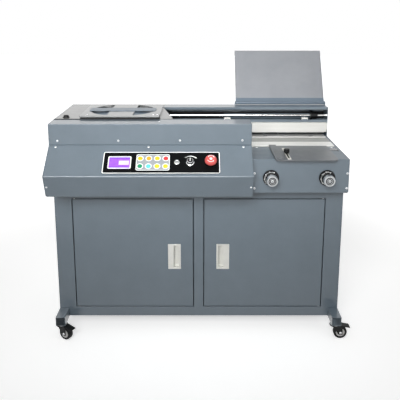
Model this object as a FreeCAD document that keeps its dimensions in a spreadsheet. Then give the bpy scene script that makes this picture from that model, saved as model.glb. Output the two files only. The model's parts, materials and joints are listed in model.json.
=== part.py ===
import FreeCAD, Part
import math
import os
import re
import Sketcher

# Floor-standing thermal binding machine, millimetres, +Z up, front towards -Y.
# The origin is on the floor, under the middle of the machine.
# Below, y is counted back from the cabinet's front face and seat() moves it to the origin.

sizes = {
    # whole machine
    "bodyWide": 1020, "bodyDeep": 369, "headLift": 555, "skin": 2, "seam": 0.3, "pinPlay": 0.05, "overrun": 5,
    # casters
    "wheelRadius": 24, "wheelThick": 20, "wheelTrail": 18, "wheelPin": 3.5, "hubRadius": 11, "hubProud": 1,
    "cheekThick": 3, "cheekGap": 0.5, "crownRadius": 20, "crownThick": 4, "plateThick": 2.9, "stemRadius": 4,
    "stemTail": 4, "casterInset": 22, "pedalReach": 52, "pedalWide": 26, "pedalThick": 3, "pedalDrop": 6,
    "frontLeftTurn": -30, "rearRightTurn": 140,
    # foot beams
    "footLift": 56, "tubeWide": 34, "tubeWall": 2.5, "plugThick": 4, "footFront": 69, "footRear": 45,
    # cabinet
    "skirtRise": 2, "doorRail": 20, "doorJamb": 64, "sillRise": 7, "headRail": 47, "doorDeep": 18,
    "doorGap": 3, "frameReturn": 22, "doorPin": 3, "doorPinInset": 6, "doorPinDepth": 10, "bushWide": 13,
    "louvreWide": 140, "louvreTall": 5, "louvrePitch": 16, "louvreRows": 9, "louvreDrop": 225,
    # recessed door handles
    "handleWide": 46, "handleTall": 96, "handleRim": 6, "handleProud": 2.5, "handleDeep": 14,
    "handleWall": 1.6, "handleFromRail": 67, "handleRise": 195, "handleLip": 15,
    # head casing
    "baseThick": 3, "deckRise": 116, "topRise": 231, "noseRise": 76, "seamRise": 158, "hoodFoot": 106,
    "noseReach": 133, "faceReach": 31, "stripBack": 50, "blockWide": 329, "foldSkin": 3, "stripReturn": 16,
    "bayWide": 372, "blockReach": 64, "deckThick": 3, "corridorDeep": 154, "wedgeStep": 12, "wedgeGap": 5,
    "wedgeWide": 48,
    # left lid and its round vent
    "lidGap": 2, "lidRise": 12, "lidSide": 22, "ventSide": 24, "ventShift": 1, "ventMargin": 5,
    "domeRise": 7, "strapWide": 92, "bandDeep": 60, "bandThick": 2.5, "lidPin": 2, "knuckleRadius": 5,
    "knuckleLong": 40, "knuckleInset": 38, "earThick": 4, "wellStep": 14,
    # control panel, across and up the slope
    "panelShift": 41.25, "panelLow": 11.4, "panelHigh": 100, "panelThick": 2, "windowRim": 12,
    "screenMargin": 17.5, "screenV": 55, "screenWide": 77, "screenTall": 50, "screenThick": 1.6,
    "keypadGap": 16.1, "keypadV": 56, "keypadRise": 1, "keyRadius": 8, "keyPitchX": 28.3,
    "keyPitchV": 31.7, "keyMarginX": 13.55, "keyMarginV": 17.15, "keyRise": 5, "keyStem": 5,
    "keyStemLong": 6, "keySlack": 0.3, "powerGap": 23.8, "powerRadius": 10, "powerRise": 8,
    "speedGap": 44.1, "speedRadius": 13.5, "speedRise": 16, "speedPin": 3, "stopGap": 68.5,
    "stopMargin": 30.5, "stopRadius": 20, "stopThick": 14, "stopNeck": 11, "stopRise": 10, "buttonV": 55,
    "stopDome": 5,
    # cover block: dial knobs and feed plate
    "dialSide": 75, "dialPitch": 190, "dialRise": 52, "collarRadius": 28, "collarThick": 10,
    "dialRadius": 20, "dialReach": 45, "dialPin": 5, "dialPinLong": 30, "dialNeck": 15, "dialNeckLong": 18,
    "feedSide": 42, "feedWide": 211, "feedOverhang": 26, "feedGap": 4, "feedThick": 4, "feedCorner": 16,
    "fenceWide": 25, "fenceRise": 4, "gaugeSide": 47, "gaugeWide": 12, "gaugeThick": 2.5, "gaugeInset": 8,
    "gaugeBack": 68, "slotWide": 6, "slotInset": 6, "slotBack": 10, "clampY": 6, "clampRadius": 10,
    "clampRise": 14, "clampPin": 2.6, "nutRadius": 7, "nutRise": 3,
    # nipping plates on the deck
    "nipThick": 3, "nipBack": 105, "nipPitch": 146, "nipFrontDeep": 63, "nipRearDeep": 54, "nipSide": 12,
    "nipInset": 2,
    # rear beam, guide rod and clamp carriage
    "beamDeep": 71, "beamTall": 66, "beamLipLow": 16, "beamLipHigh": 10, "rodRadius": 6, "rodInset": 32,
    "rodRise": 28, "bearingRadius": 14, "bearingLong": 24, "bearingSide": 56, "flangeRadius": 19,
    "flangeThick": 4, "jawSide": 4, "jawLong": 357, "jawThick": 7, "jawGap": 17, "jawTall": 39,
    "jawCorner": 12, "jawStep": 53, "armWide": 20, "armInset": 7, "armSide": 98, "armThick": 4,
    "padDeep": 12, "padTall": 9, "spineThick": 8, "spineTall": 18, "jawPin": 4, "jawPinLong": 62,
    "jawPinInset": 40,
    # paper rest
    "hingeInset": 9, "hingeRise": 7.5, "restRun": 124, "restTall": 200, "restSkin": 3, "restPin": 3,
    "restKnuckle": 6,
    # glue station and milling head
    "tankSide": 30, "tankWide": 150, "tankGap": 19, "tankDeep": 160, "tankLip": 24, "tankWall": 4,
    "rollerRadius": 32, "rollerDrop": 13, "rollerPin": 6, "rollerEnd": 0.8, "millSide": 92, "millBack": 97,
    "motorRadius": 45, "millDrop": 49, "millShaft": 8, "millShaftDeep": 20, "millRise": 14, "millRadius": 68,
    "millThick": 10, "toothCount": 12, "toothRadius": 5, "toothRise": 6, "toothCircle": 58, "finCount": 10,
    "finThick": 3, "finReach": 4,
    # control box in the cabinet
    "caseSide": 30, "caseWide": 260, "caseGap": 9, "caseDeep": 158, "caseTall": 140, "casePitch": 20,
    "caseSlots": 11,
}

# Places and sizes that follow the ones above, used by name in the same way
places = {
    # heights
    "skirtLift": "(footLift + skirtRise)",
    "doorSill": "(footLift + tubeWide + sillRise)",
    "doorTall": "(headLift - headRail - doorSill)",
    "handleMidLift": "(doorSill + handleRise)",
    "louvreSill": "(headLift - louvreDrop)",
    "deckLift": "(headLift + deckRise)",
    "topLift": "(headLift + topRise)",
    "noseLift": "(headLift + noseRise)",
    "seamLift": "(headLift + seamRise)",
    "dialLift": "(headLift + dialRise)",
    "beamLift": "(topLift - beamTall)",
    "rodLift": "(beamLift + rodRise)",
    "jawLow": "(deckLift + jawGap)",
    "jawHigh": "(jawLow + jawTall)",
    "rollerLift": "(jawLow - rollerDrop - rollerRadius)",
    "tankTall": "(rollerLift - headLift + tankLip)",
    "motorTall": "(jawLow - headLift - millDrop)",
    # across, right of the middle
    "doorWide": "(bodyWide / 2 - doorRail - doorJamb)",
    "consoleRight": "(bodyWide / 2 - blockWide)",
    "nipRight": "(bodyWide / 2 - nipSide)",
    "dialRightX": "(bodyWide / 2 - dialSide)",
    "dialLeftX": "(dialRightX - dialPitch)",
    "feedRight": "(bodyWide / 2 - feedSide)",
    "feedLeft": "(feedRight - feedWide)",
    "gaugeX": "(feedLeft + gaugeSide)",
    "jawRight": "(bodyWide / 2 - jawSide)",
    "jawLeft": "(jawRight - jawLong)",
    "backJawLeft": "(jawLeft - jawStep)",
    "armLeftX": "(backJawLeft + armInset)",
    "armRightX": "(jawRight - armSide)",
    "bearingX": "(jawRight - bearingSide)",
    "restLeft": "jawLeft",
    # across, counted to the left of the middle
    "wellLeft": "(bodyWide / 2 - bayWide)",
    "ventX": "(wellLeft + ventSide + ventRadius)",
    "lidLeft": "(ventX + ventRadius + lidSide)",
    "tankLeft": "(bodyWide / 2 - tankSide)",
    "tankRight": "(tankLeft - tankWide)",
    "rollerX": "((tankLeft + tankRight) / 2)",
    "millX": "(wellLeft + millSide)",
    "caseLeft": "(bodyWide / 2 - caseSide)",
    "caseRight": "(caseLeft - caseWide)",
    "panelLeft": "(panelWide / 2 - panelMiddle)",
    "screenX": "(panelLeft - screenFrom)",
    "keypadX": "(panelLeft - keypadFrom)",
    "powerX": "(panelLeft - powerFrom)",
    "speedX": "(panelLeft - speedFrom)",
    # along the panel, counted from its left end
    "keypadWide": "(3 * keyPitchX + 2 * keyMarginX)",
    "keypadTall": "(keyPitchV + 2 * keyMarginV)",
    "screenFrom": "(screenMargin + screenWide / 2)",
    "keypadFrom": "(screenMargin + screenWide + keypadGap + keypadWide / 2)",
    "powerFrom": "(keypadFrom + keypadWide / 2 + powerGap)",
    "speedFrom": "(powerFrom + speedGap)",
    "stopFrom": "(speedFrom + stopGap)",
    "panelWide": "(stopFrom + stopMargin)",
    # the panel sits a little right of the console's middle
    "panelMiddle": "((consoleRight - bodyWide / 2) / 2 + panelShift)",
    "panelRight": "(panelWide / 2 + panelMiddle)",
    "stopX": "(stopFrom - panelLeft)",
    # front to back
    "beamFront": "(bodyDeep - beamDeep)",
    "rodY": "(beamFront + rodInset)",
    "hingeY": "(bodyDeep - hingeInset)",
    "lidFront": "(stripBack + lidGap)",
    "lidBack": "beamFront",
    "ventRadius": "((lidBack - lidFront) / 2 - ventMargin)",
    "ventY": "((lidFront + lidBack) / 2 - ventShift)",
    "ventWell": "(ventRadius - wellStep)",
    "knuckleFrom": "(ventRadius - knuckleInset)",
    "wedgeFront": "(stripBack + wedgeStep)",
    "wedgeBack": "(beamFront - wedgeGap)",
    "corridorFront": "(bodyDeep - corridorDeep)",
    "tankBack": "(bodyDeep - tankGap)",
    "tankFront": "(tankBack - tankDeep)",
    "millY": "(bodyDeep - millBack)",
    "caseBack": "(bodyDeep - caseGap)",
    "caseFront": "(caseBack - caseDeep)",
    "nipRearY": "(bodyDeep - nipBack)",
    "nipFrontY": "(nipRearY - nipPitch)",
    "feedBack": "(nipFrontY - feedGap)",
    "feedFront": "(blockReach + feedOverhang)",
    "gaugeFront": "(feedFront - gaugeInset)",
    "slotFront": "(gaugeFront - slotInset)",
}

doc = FreeCAD.newDocument("BindingMachine")
sheet = doc.addObject("Spreadsheet::Sheet", "Sizes")
for row, (name, value) in enumerate(sizes.items(), 1):
    sheet.set(f"A{row}", name)
    sheet.set(f"B{row}", str(value))
    sheet.setAlias(f"B{row}", name)
doc.recompute()

nodes = {}


# Helpers: expressions are written in the names above, and bound() points them at the sheet
def bound(text):
    return re.sub(r"[a-z][A-Za-z]+", lambda word: linked(word.group(0)), text)


def linked(word):
    if word in places:
        return bound(places[word])
    return "Sizes." + word if word in sizes else word


def bind(item, **fields):
    for field, text in fields.items():
        item.setExpression(field, bound(text))


def move(item, x="0", y="0", z="0"):
    for axis, text in zip("xyz", (x, y, z)):
        item.setExpression(f".Placement.Base.{axis}", bound(text))


def box(x, y, z, wide, deep, tall):
    item = doc.addObject("Part::Box", "Block")
    bind(item, Length=wide, Width=deep, Height=tall)
    move(item, x, y, z)
    return item


def span(left, right, front, back, low, high):
    return box(left, front, low, f"{right} - ({left})", f"{back} - ({front})", f"{high} - ({low})")


turns = {
    "X": FreeCAD.Rotation(FreeCAD.Vector(0, 1, 0), 90),
    "Y": FreeCAD.Rotation(FreeCAD.Vector(1, 0, 0), -90),
    "-Y": FreeCAD.Rotation(FreeCAD.Vector(1, 0, 0), 90),
    "Z": FreeCAD.Rotation(),
}


def rod(axis, x, y, z, radius, length):
    item = doc.addObject("Part::Cylinder", "Rod")
    item.Placement.Rotation = turns[axis]
    bind(item, Radius=radius, Height=length)
    move(item, x, y, z)
    return item


def outline(body, plane, points):
    """A closed sketch on one of the body's own planes, each corner bound to the sheet."""
    support = [feature for feature in body.Origin.OriginFeatures if feature.Role == plane][0]
    sketch = body.newObject("Sketcher::SketchObject", "Outline")
    sketch.AttachmentSupport = [(support, "")]
    sketch.MapMode = "FlatFace"
    count = len(points)
    ring = [
        FreeCAD.Vector(math.cos(2 * math.pi * i / count), math.sin(2 * math.pi * i / count), 0)
        for i in range(count)
    ]
    for i in range(count):
        sketch.addGeometry(Part.LineSegment(ring[i], ring[(i + 1) % count]), False)
    for i in range(count):
        sketch.addConstraint(Sketcher.Constraint("Coincident", i, 2, (i + 1) % count, 1))
    for i, place in enumerate(points):
        for kind, text, start in zip(("DistanceX", "DistanceY"), place, ring[i]):
            which = sketch.addConstraint(Sketcher.Constraint(kind, -1, 1, i, 1, start))
            sketch.setExpression(f"Constraints[{which}]", bound(text))
    return sketch


def profile(plane, points, length, start="0"):
    """A padded outline: XY_Plane rises from z, YZ_Plane runs right from x, XZ_Plane runs back from y."""
    body = doc.addObject("PartDesign::Body", "Body")
    sketch = outline(body, plane, points)
    pad = body.newObject("PartDesign::Pad", "Pad")
    pad.Profile = sketch
    pad.Reversed = plane == "XZ_Plane"
    bind(pad, Length=length)
    move(body, **{{"XY_Plane": "z", "YZ_Plane": "x", "XZ_Plane": "y"}[plane]: start})
    return body


def turned(points, axis="Z", x="0", y="0", z="0"):
    """A revolved outline of (radius, height) corners."""
    body = doc.addObject("PartDesign::Body", "Body")
    sketch = outline(body, "XZ_Plane", points)
    spin = body.newObject("PartDesign::Revolution", "Turn")
    spin.Profile = sketch
    spin.ReferenceAxis = (sketch, ["V_Axis"])
    spin.Angle = 360
    body.Placement.Rotation = turns[axis]
    move(body, x, y, z)
    return body


def fuse(*shapes):
    item = doc.addObject("Part::MultiFuse", "Joined")
    item.Shapes = list(shapes)
    item.Refine = True
    return item


def cut(base, *tools):
    item = doc.addObject("Part::Cut", "Cut")
    item.Base = base
    item.Tool = tools[0] if len(tools) == 1 else fuse(*tools)
    return item


def common(first, second):
    item = doc.addObject("Part::Common", "Common")
    item.Base = first
    item.Tool = second
    return item


def group(*shapes):
    item = doc.addObject("Part::Compound", "Group")
    item.Links = list(shapes)
    return item


def ring(left, right, front, back, low, high, wall, deep):
    """A rectangular frame whose opening runs front to back."""
    outer = span(left, right, front, back, low, high)
    inner = span(f"{left} + {wall}", f"{right} - {wall}", f"{front} - {deep}", f"{back} + {deep}",
                 f"{low} + {wall}", f"{high} - {wall}")
    return cut(outer, inner)


restBack = "(hingeY + restRun + restSkin / 2)"
middle = f"(({restBack} - noseReach) / 2)"


def seat(item, label, x="0", y="0", z="0", tilt=None, angle=None):
    """Names a finished sub-part and places it in the machine's frame."""
    if item.TypeId in ("Part::Box", "Part::Cylinder", "PartDesign::Body"):
        item = group(item)
    item.Label = label
    if tilt:
        item.Placement.Rotation = FreeCAD.Rotation(FreeCAD.Vector(*tilt), 1)
        item.setExpression(".Placement.Rotation.Angle", bound(angle))
    move(item, x, f"{y} - {middle}", z)
    nodes[label] = item
    return item


half = "(bodyWide / 2)"
inside = "(bodyWide / 2 - skin)"
footTop = "(footLift + tubeWide)"
cabinetTop = "(headLift - baseThick)"
slope = "atan((seamLift - noseLift) / (noseReach - faceReach))"


# Foot beams: two square tubes under the cabinet, with end plugs
def footTube(side):
    left = half + " - tubeWide" if side > 0 else "-" + half
    right = half if side > 0 else "-" + half + " + tubeWide"
    tube = ring(left, right, "-footFront", "bodyDeep + footRear", "footLift", footTop, "tubeWall", "overrun")
    plugs = [
        span(f"{left} + tubeWall", f"{right} - tubeWall", front, f"{front} + plugThick",
             "footLift + tubeWall", f"{footTop} - tubeWall")
        for front in ("-footFront", "bodyDeep + footRear - plugThick")
    ]
    return [tube] + plugs


seat(group(*footTube(-1), *footTube(1)), "foot_beams")

# Casters: swivel plate and stem fixed under each foot, fork with brake pedal, wheel
stemX = f"({half} - tubeWide / 2)"
frontY = "(casterInset - footFront)"
rearY = "(bodyDeep + footRear - casterInset)"
corners = {
    "front_left": ("-" + stemX, frontY, "frontLeftTurn"),
    "front_right": (stemX, frontY, "0"),
    "rear_left": ("-" + stemX, rearY, "180"),
    "rear_right": (stemX, rearY, "rearRightTurn"),
}
crownLow = "(footLift - plateThick - seam - crownThick)"
axleReach = "(wheelThick / 2 + cheekGap + cheekThick)"


def stem(x, y):
    plate = rod("Z", x, y, "footLift - plateThick", "crownRadius - cheekThick / 2", "plateThick")
    tail = rod("Z", x, y, f"{crownLow} - stemTail", "stemRadius",
               f"footLift - plateThick - {crownLow} + stemTail")
    return fuse(plate, tail)


seat(group(*[stem(x, y) for x, y, angle in corners.values()]), "caster_plates")


def fork():
    crown = rod("Z", "0", "0", crownLow, "crownRadius", "crownThick")
    cheeks = [
        profile("XZ_Plane", [("-crownRadius / 2", f"{crownLow} + crownThick"), ("-crownRadius / 2", crownLow),
                             ("wheelTrail - wheelPin * 2", "wheelRadius - wheelPin * 2"),
                             ("wheelTrail + wheelPin * 2", "wheelRadius - wheelPin * 2"),
                             ("wheelTrail + wheelPin * 2", crownLow),
                             ("wheelTrail", f"{crownLow} + crownThick")], "cheekThick", start)
        for start in ("wheelThick / 2 + cheekGap", "-wheelThick / 2 - cheekGap - cheekThick")
    ]
    axle = rod("Y", "wheelTrail", "-" + axleReach, "wheelRadius", "wheelPin", f"2 * {axleReach}")
    pedal = profile("XZ_Plane", [("0", crownLow), ("wheelTrail", crownLow),
                                 ("pedalReach", f"{crownLow} - pedalDrop"),
                                 ("pedalReach", f"{crownLow} - pedalDrop + pedalThick"),
                                 ("wheelTrail", f"{crownLow} + pedalThick"),
                                 ("0", f"{crownLow} + pedalThick")],
                    "pedalWide", "-pedalWide / 2")
    bore = rod("Z", "0", "0", "wheelRadius", "stemRadius + pinPlay", "footLift")
    return cut(fuse(crown, axle, pedal, *cheeks), bore)


def wheel():
    flank = "wheelThick / 2"
    tyre = turned([("wheelPin + pinPlay", f"-{flank} + hubProud"), ("hubRadius", f"-{flank} + hubProud"),
                   ("hubRadius + hubProud", f"-{flank}"), ("wheelRadius - hubProud * 2", f"-{flank}"),
                   ("wheelRadius", f"-{flank} + hubProud * 3"), ("wheelRadius", f"{flank} - hubProud * 3"),
                   ("wheelRadius - hubProud * 2", flank), ("hubRadius + hubProud", flank),
                   ("hubRadius", f"{flank} - hubProud"), ("wheelPin + pinPlay", f"{flank} - hubProud")],
                  "Y", "wheelTrail", "0", "wheelRadius")
    return group(tyre)


for corner, (x, y, angle) in corners.items():
    seat(fork(), "caster_fork_" + corner, x, y, "0", (0, 0, 1), angle)
    seat(wheel(), "caster_wheel_" + corner, x, y, "0", (0, 0, 1), angle)

# Cabinet front: a plate with two door openings, folded returns and a skirt between the feet
skirtX = f"({half} - tubeWide)"
plate = profile("XZ_Plane", [("-" + inside, footTop), ("-" + skirtX, footTop), ("-" + skirtX, "skirtLift"),
                             (skirtX, "skirtLift"), (skirtX, footTop), (inside, footTop),
                             (inside, cabinetTop), ("-" + inside, cabinetTop)], "skin")
openings, returns = [], []
for left, right in (("-doorRail - doorWide - doorGap", "-doorRail + doorGap"),
                    ("doorRail - doorGap", "doorRail + doorWide + doorGap")):
    low, high = "doorSill - doorGap", "doorSill + doorTall + doorGap"
    openings.append(span(left, right, "-overrun", "frameReturn + overrun", low, high))
    returns.append(span(f"{left} - skin", f"{right} + skin", "0", "frameReturn", f"{low} - skin",
                        f"{high} + skin"))
seat(cut(fuse(plate, *returns), *openings), "cabinet_front")

# Cabinet wrap: both sides and the back folded from one sheet, with louvres at the back
wrap = profile("XY_Plane", [("-" + half, "0"), ("-" + inside, "0"), ("-" + inside, "bodyDeep - skin"),
                            (inside, "bodyDeep - skin"), (inside, "0"), (half, "0"), (half, "bodyDeep"),
                            ("-" + half, "bodyDeep")], f"{cabinetTop} - {footTop}", footTop)
louvres = [
    box(f"{centre} - louvreWide / 2", "bodyDeep - skin - overrun", f"louvreSill + {row} * louvrePitch",
        "louvreWide", "skin + 2 * overrun", "louvreTall")
    for centre in ("-bodyWide / 4", "bodyWide / 4") for row in range(int(sizes["louvreRows"]))
]
seat(cut(wrap, *louvres), "cabinet_wrap")
seat(span("-" + inside, inside, "skin", "bodyDeep - skin", footTop, f"{footTop} + skin"), "cabinet_floor")


# Doors: pan-shaped, on pivot pins near their outer edges
def door(side):
    left = "doorRail" if side > 0 else "-doorRail - doorWide"
    pan = cut(box(left, "0", "doorSill", "doorWide", "doorDeep", "doorTall"),
              box(f"{left} + skin", "skin", "doorSill + skin", "doorWide - 2 * skin", "doorDeep",
                  "doorTall - 2 * skin"))
    pinX = "doorRail + doorWide - doorPinInset" if side > 0 else "-doorRail - doorWide + doorPinInset"
    bushX = "doorRail + doorWide - bushWide" if side > 0 else "-doorRail - doorWide"
    bushes = [box(bushX, "0", low, "bushWide", "bushWide", "bushWide")
              for low in ("doorSill", "doorSill + doorTall - bushWide")]
    bores = [rod("Z", pinX, "doorPinInset", low, "doorPin + pinPlay", "doorPinDepth + overrun")
             for low in ("doorSill - overrun", "doorSill + doorTall - doorPinDepth")]
    handleX = handleMiddle(side)
    window = box(f"{handleX} - handleWide / 2 + handleRim - seam", "-overrun",
                 "handleMidLift - handleTall / 2 + handleRim - seam",
                 "handleWide - 2 * handleRim + 2 * seam", "doorDeep + overrun",
                 "handleTall - 2 * handleRim + 2 * seam")
    return cut(fuse(pan, *bushes), window, *bores)


def handleMiddle(side):
    return f"({'' if side > 0 else '-'}(doorRail + handleFromRail))"


# Recessed handle: rim in front of the door, cup behind it, half covered by a finger lip
def handle(side):
    middleX = handleMiddle(side)
    low = "handleMidLift - handleTall / 2"
    rim = box(f"{middleX} - handleWide / 2", "-handleProud", low, "handleWide", "handleProud", "handleTall")
    cup = box(f"{middleX} - handleWide / 2 + handleRim", "-handleProud", f"{low} + handleRim",
              "handleWide - 2 * handleRim", "handleProud + handleDeep", "handleTall - 2 * handleRim")
    hollow = box(f"{middleX} - handleWide / 2 + handleRim + handleWall", "-handleProud - overrun",
                 f"{low} + handleRim + handleWall", "handleWide - 2 * handleRim - 2 * handleWall",
                 "handleProud + handleDeep - handleWall + overrun",
                 "handleTall - 2 * handleRim - 2 * handleWall")
    toLip = "+ handleWide / 2 - handleRim - handleLip" if side > 0 else "- handleWide / 2 + handleRim"
    lip = box(f"{middleX} {toLip}", "-handleProud", f"{low} + handleRim", "handleLip", "handleWall",
              "handleTall - 2 * handleRim")
    return fuse(cut(fuse(rim, cup), hollow), lip)


for side, word in ((-1, "left"), (1, "right")):
    seat(door(side), "door_" + word)
    seat(handle(side), "handle_" + word)

# Head base: the plate that carries the head, a little inside the casing's outline
seat(profile("XY_Plane", [("-" + inside, "-hoodFoot + foldSkin"),
                          ("consoleRight - skin", "-hoodFoot + foldSkin"),
                          ("consoleRight - skin", "-blockReach + skin"), (inside, "-blockReach + skin"),
                          (inside, "bodyDeep - skin"), ("-" + inside, "bodyDeep - skin")],
             "baseThick", cabinetTop), "head_base")

# Hood end plates: the left one runs to the back, the right one stops behind the console
nose = [("-hoodFoot", "headLift"), ("-noseReach", "noseLift"), ("-faceReach", "seamLift"),
        ("-faceReach", "topLift")]
rodBore = rod("X", "-" + half + " - overrun", "rodY", "rodLift", "rodRadius + pinPlay", "skin + 2 * overrun")
seat(cut(profile("YZ_Plane", nose + [("bodyDeep", "topLift"), ("bodyDeep", "headLift")], "skin", "-" + half),
         rodBore), "hood_end_left")
seat(profile("YZ_Plane", nose + [("stripBack", "topLift"), ("stripBack", "headLift")], "skin",
             "consoleRight - skin"), "hood_end_right")

# Console cover: lower front and sloping panel face, folded at the nose, with a window behind the panel
hoodLong = "consoleRight - skin + " + inside
folded = profile("YZ_Plane", nose[:3] + [("-faceReach + foldSkin", "seamLift"),
                                         ("-noseReach + foldSkin", "noseLift"),
                                         ("-hoodFoot + foldSkin", "headLift")], hoodLong, "-" + inside)
window = box("-panelLeft + windowRim", "0", "0", "panelLeft + panelRight - 2 * windowRim",
             "panelHigh - panelLow - 2 * windowRim", "2 * overrun + foldSkin")
window.Placement.Rotation = FreeCAD.Rotation(FreeCAD.Vector(1, 0, 0), 1)
window.setExpression(".Placement.Rotation.Angle", bound(slope))
depth = "(foldSkin + overrun)"
move(window, "-panelLeft + windowRim",
     f"-noseReach + (panelLow + windowRim) * cos({slope}) + {depth} * sin({slope})",
     f"noseLift + (panelLow + windowRim) * sin({slope}) - {depth} * cos({slope})")
seat(cut(folded, window), "console_cover")

# Hood cover: upright face, top strip and a short return at the strip's back edge
seat(profile("YZ_Plane", [("-faceReach", "seamLift"), ("-faceReach", "topLift"), ("stripBack", "topLift"),
                          ("stripBack", "topLift - stripReturn"),
                          ("stripBack - skin", "topLift - stripReturn"),
                          ("stripBack - skin", "topLift - skin"), ("-faceReach + skin", "topLift - skin"),
                          ("-faceReach + skin", "seamLift")], hoodLong, "-" + inside), "hood_cover")

# Top cover: roof of the left compartment with the vent well, the wall beside the well and a wedge
lidPinY = "(lidBack + knuckleRadius + seam)"
lidPinZ = "(topLift + knuckleRadius + seam)"
roof = profile("XY_Plane", [("-" + inside, "stripBack"), ("-wellLeft", "stripBack"),
                            ("-wellLeft", "wedgeFront"), ("wedgeWide - wellLeft", "wedgeFront"),
                            ("-wellLeft", "wedgeBack"),
                            ("-wellLeft", "bodyDeep - skin"), ("-" + inside, "bodyDeep - skin")],
               "skin", "topLift - skin")
sideWall = span("-wellLeft - skin", "-wellLeft", "stripBack", "corridorFront", "deckLift", "topLift - skin")
knuckleXs = ["-ventX - knuckleFrom - knuckleLong", "-ventX + knuckleFrom"]
ears = [
    fuse(span(earX, f"{earX} + earThick", f"{lidPinY} - knuckleRadius", f"{lidPinY} + knuckleRadius",
              "topLift", lidPinZ), rod("X", earX, lidPinY, lidPinZ, "knuckleRadius", "earThick"))
    for knuckleX in knuckleXs
    for earX in (f"({knuckleX} - earThick - seam)", f"({knuckleX} + knuckleLong + seam)")
]
earBores = [rod("X", f"{knuckleX} - earThick - overrun", lidPinY, lidPinZ, "lidPin",
                "knuckleLong + 2 * (earThick + overrun)")
            for knuckleX in knuckleXs]
ventHole = rod("Z", "-ventX", "ventY", "topLift - overrun", "ventWell", "2 * overrun")
seat(cut(fuse(roof, sideWall, *ears), ventHole, *earBores), "top_cover")

# Back cover: behind the left compartment and below the beam
seat(profile("XZ_Plane", [("-" + inside, "headLift"), (inside, "headLift"), (inside, "beamLift"),
                          ("-wellLeft", "beamLift"), ("-wellLeft", "topLift"), ("-" + inside, "topLift")],
             "skin", "bodyDeep - skin"), "back_cover")

# Cover block: front and right side folded from one sheet, bored for the dial spindles
dialXs = {"left": "dialLeftX", "right": "dialRightX"}
spindleBores = [rod("Y", x, "-blockReach - overrun", "dialLift", "dialPin + pinPlay", "skin + 2 * overrun")
                for x in dialXs.values()]
seat(cut(profile("XY_Plane", [("consoleRight", "-blockReach"), (half, "-blockReach"), (half, "bodyDeep"),
                              (inside, "bodyDeep"), (inside, "skin - blockReach"),
                              ("consoleRight", "skin - blockReach")], "deckLift - headLift", "headLift"),
         *spindleBores), "block_cover")

# Deck: the table plate, over the cover block and along the well
seat(profile("XY_Plane", [("consoleRight", "skin - blockReach"), (inside, "skin - blockReach"),
                          (inside, "bodyDeep - skin"), ("-wellLeft - skin", "bodyDeep - skin"),
                          ("-wellLeft - skin", "stripBack"), ("consoleRight", "stripBack")],
             "deckThick", "deckLift - deckThick"), "deck")

# Nipping plates: two steel bars that close on the book's spine
nipLong = "nipRight - consoleRight - nipInset"
for word, nipY, nipDeep in (("front", "nipFrontY", "nipFrontDeep"), ("rear", "nipRearY", "nipRearDeep")):
    seat(box("consoleRight + nipInset", nipY, "deckLift + seam", nipLong, nipDeep, "nipThick"),
         "nip_plate_" + word)

# Rear beam: a channel open to the front, closed at its right end, with the paper rest's ears
beamBack = "bodyDeep - skin"
beamSection = [("beamFront", "topLift"), ("bodyDeep", "topLift"), ("bodyDeep", "beamLift"),
               ("beamFront", "beamLift"), ("beamFront", "beamLift + beamLipLow"),
               ("beamFront + skin", "beamLift + beamLipLow"), ("beamFront + skin", "beamLift + skin"),
               (beamBack, "beamLift + skin"), (beamBack, "topLift - skin"),
               ("beamFront + skin", "topLift - skin"), ("beamFront + skin", "topLift - beamLipHigh"),
               ("beamFront", "topLift - beamLipHigh")]
channel = profile("YZ_Plane", beamSection, f"wellLeft + {inside}", "-wellLeft")
endWall = span(inside, half, "beamFront", "bodyDeep", "deckLift", "topLift")
restPinZ = "(topLift + hingeRise)"
restEars = [span(left, f"{left} + earThick", "hingeY - restKnuckle", "hingeY + restKnuckle", "topLift",
                 f"{restPinZ} + restKnuckle")
            for left in ("restLeft - earThick - seam", "jawRight + seam")]
endBore = rod("X", f"{inside} - overrun", "rodY", "rodLift", "rodRadius + pinPlay", "skin + 2 * overrun")
restBore = rod("X", "restLeft - earThick - overrun", "hingeY", restPinZ, "restPin",
               "jawRight - restLeft + 2 * (earThick + overrun)")
seat(cut(fuse(channel, endWall, *restEars), endBore, restBore), "rear_beam")
seat(rod("X", "-" + half, "rodY", "rodLift", "rodRadius", "bodyWide"), "guide_rod")

# Clamp carriage: bearing on the rod, a spine behind it, two arms over the beam's lip and the rear jaw
lipTop = "(beamLift + beamLipLow)"
armLow = f"({lipTop} + seam)"
backJawY = "(beamFront - seam - jawThick)"
bearing = rod("X", "bearingX", "rodY", "rodLift", "bearingRadius", "bearingLong")
flange = rod("X", "bearingX - flangeThick", "rodY", "rodLift", "flangeRadius", "flangeThick")
armXs = ("armLeftX", "armRightX")
arms = [box(x, backJawY, armLow, "armWide", f"rodY - {backJawY} + rodRadius + spineThick", "armThick")
        for x in armXs]
spineBar = span("armLeftX", "bearingX + bearingLong", "rodY + rodRadius + seam",
                "rodY + rodRadius + seam + spineThick", armLow, f"{armLow} + spineTall")
necks = [box(x, backJawY, "jawHigh - overrun", "armWide", "jawThick",
             f"{armLow} - jawHigh + overrun + armThick") for x in armXs]
backJaw = span("backJawLeft", "jawRight", backJawY, f"{backJawY} + jawThick", "jawLow", "jawHigh")
jawPinXs = ("jawLeft + jawPinInset", "jawRight - jawPinInset")
jawPinZ = "(jawLow + jawHigh) / 2"
rodHole = rod("X", "bearingX - flangeThick - overrun", "rodY", "rodLift", "rodRadius + pinPlay",
              "bearingLong + flangeThick + 2 * overrun")
jawPinHoles = [rod("Y", x, f"{backJawY} - overrun", jawPinZ, "jawPin + pinPlay", "jawThick + 2 * overrun")
               for x in jawPinXs]
seat(cut(fuse(bearing, flange, spineBar, backJaw, *arms, *necks), rodHole, *jawPinHoles), "clamp_carriage")

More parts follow.
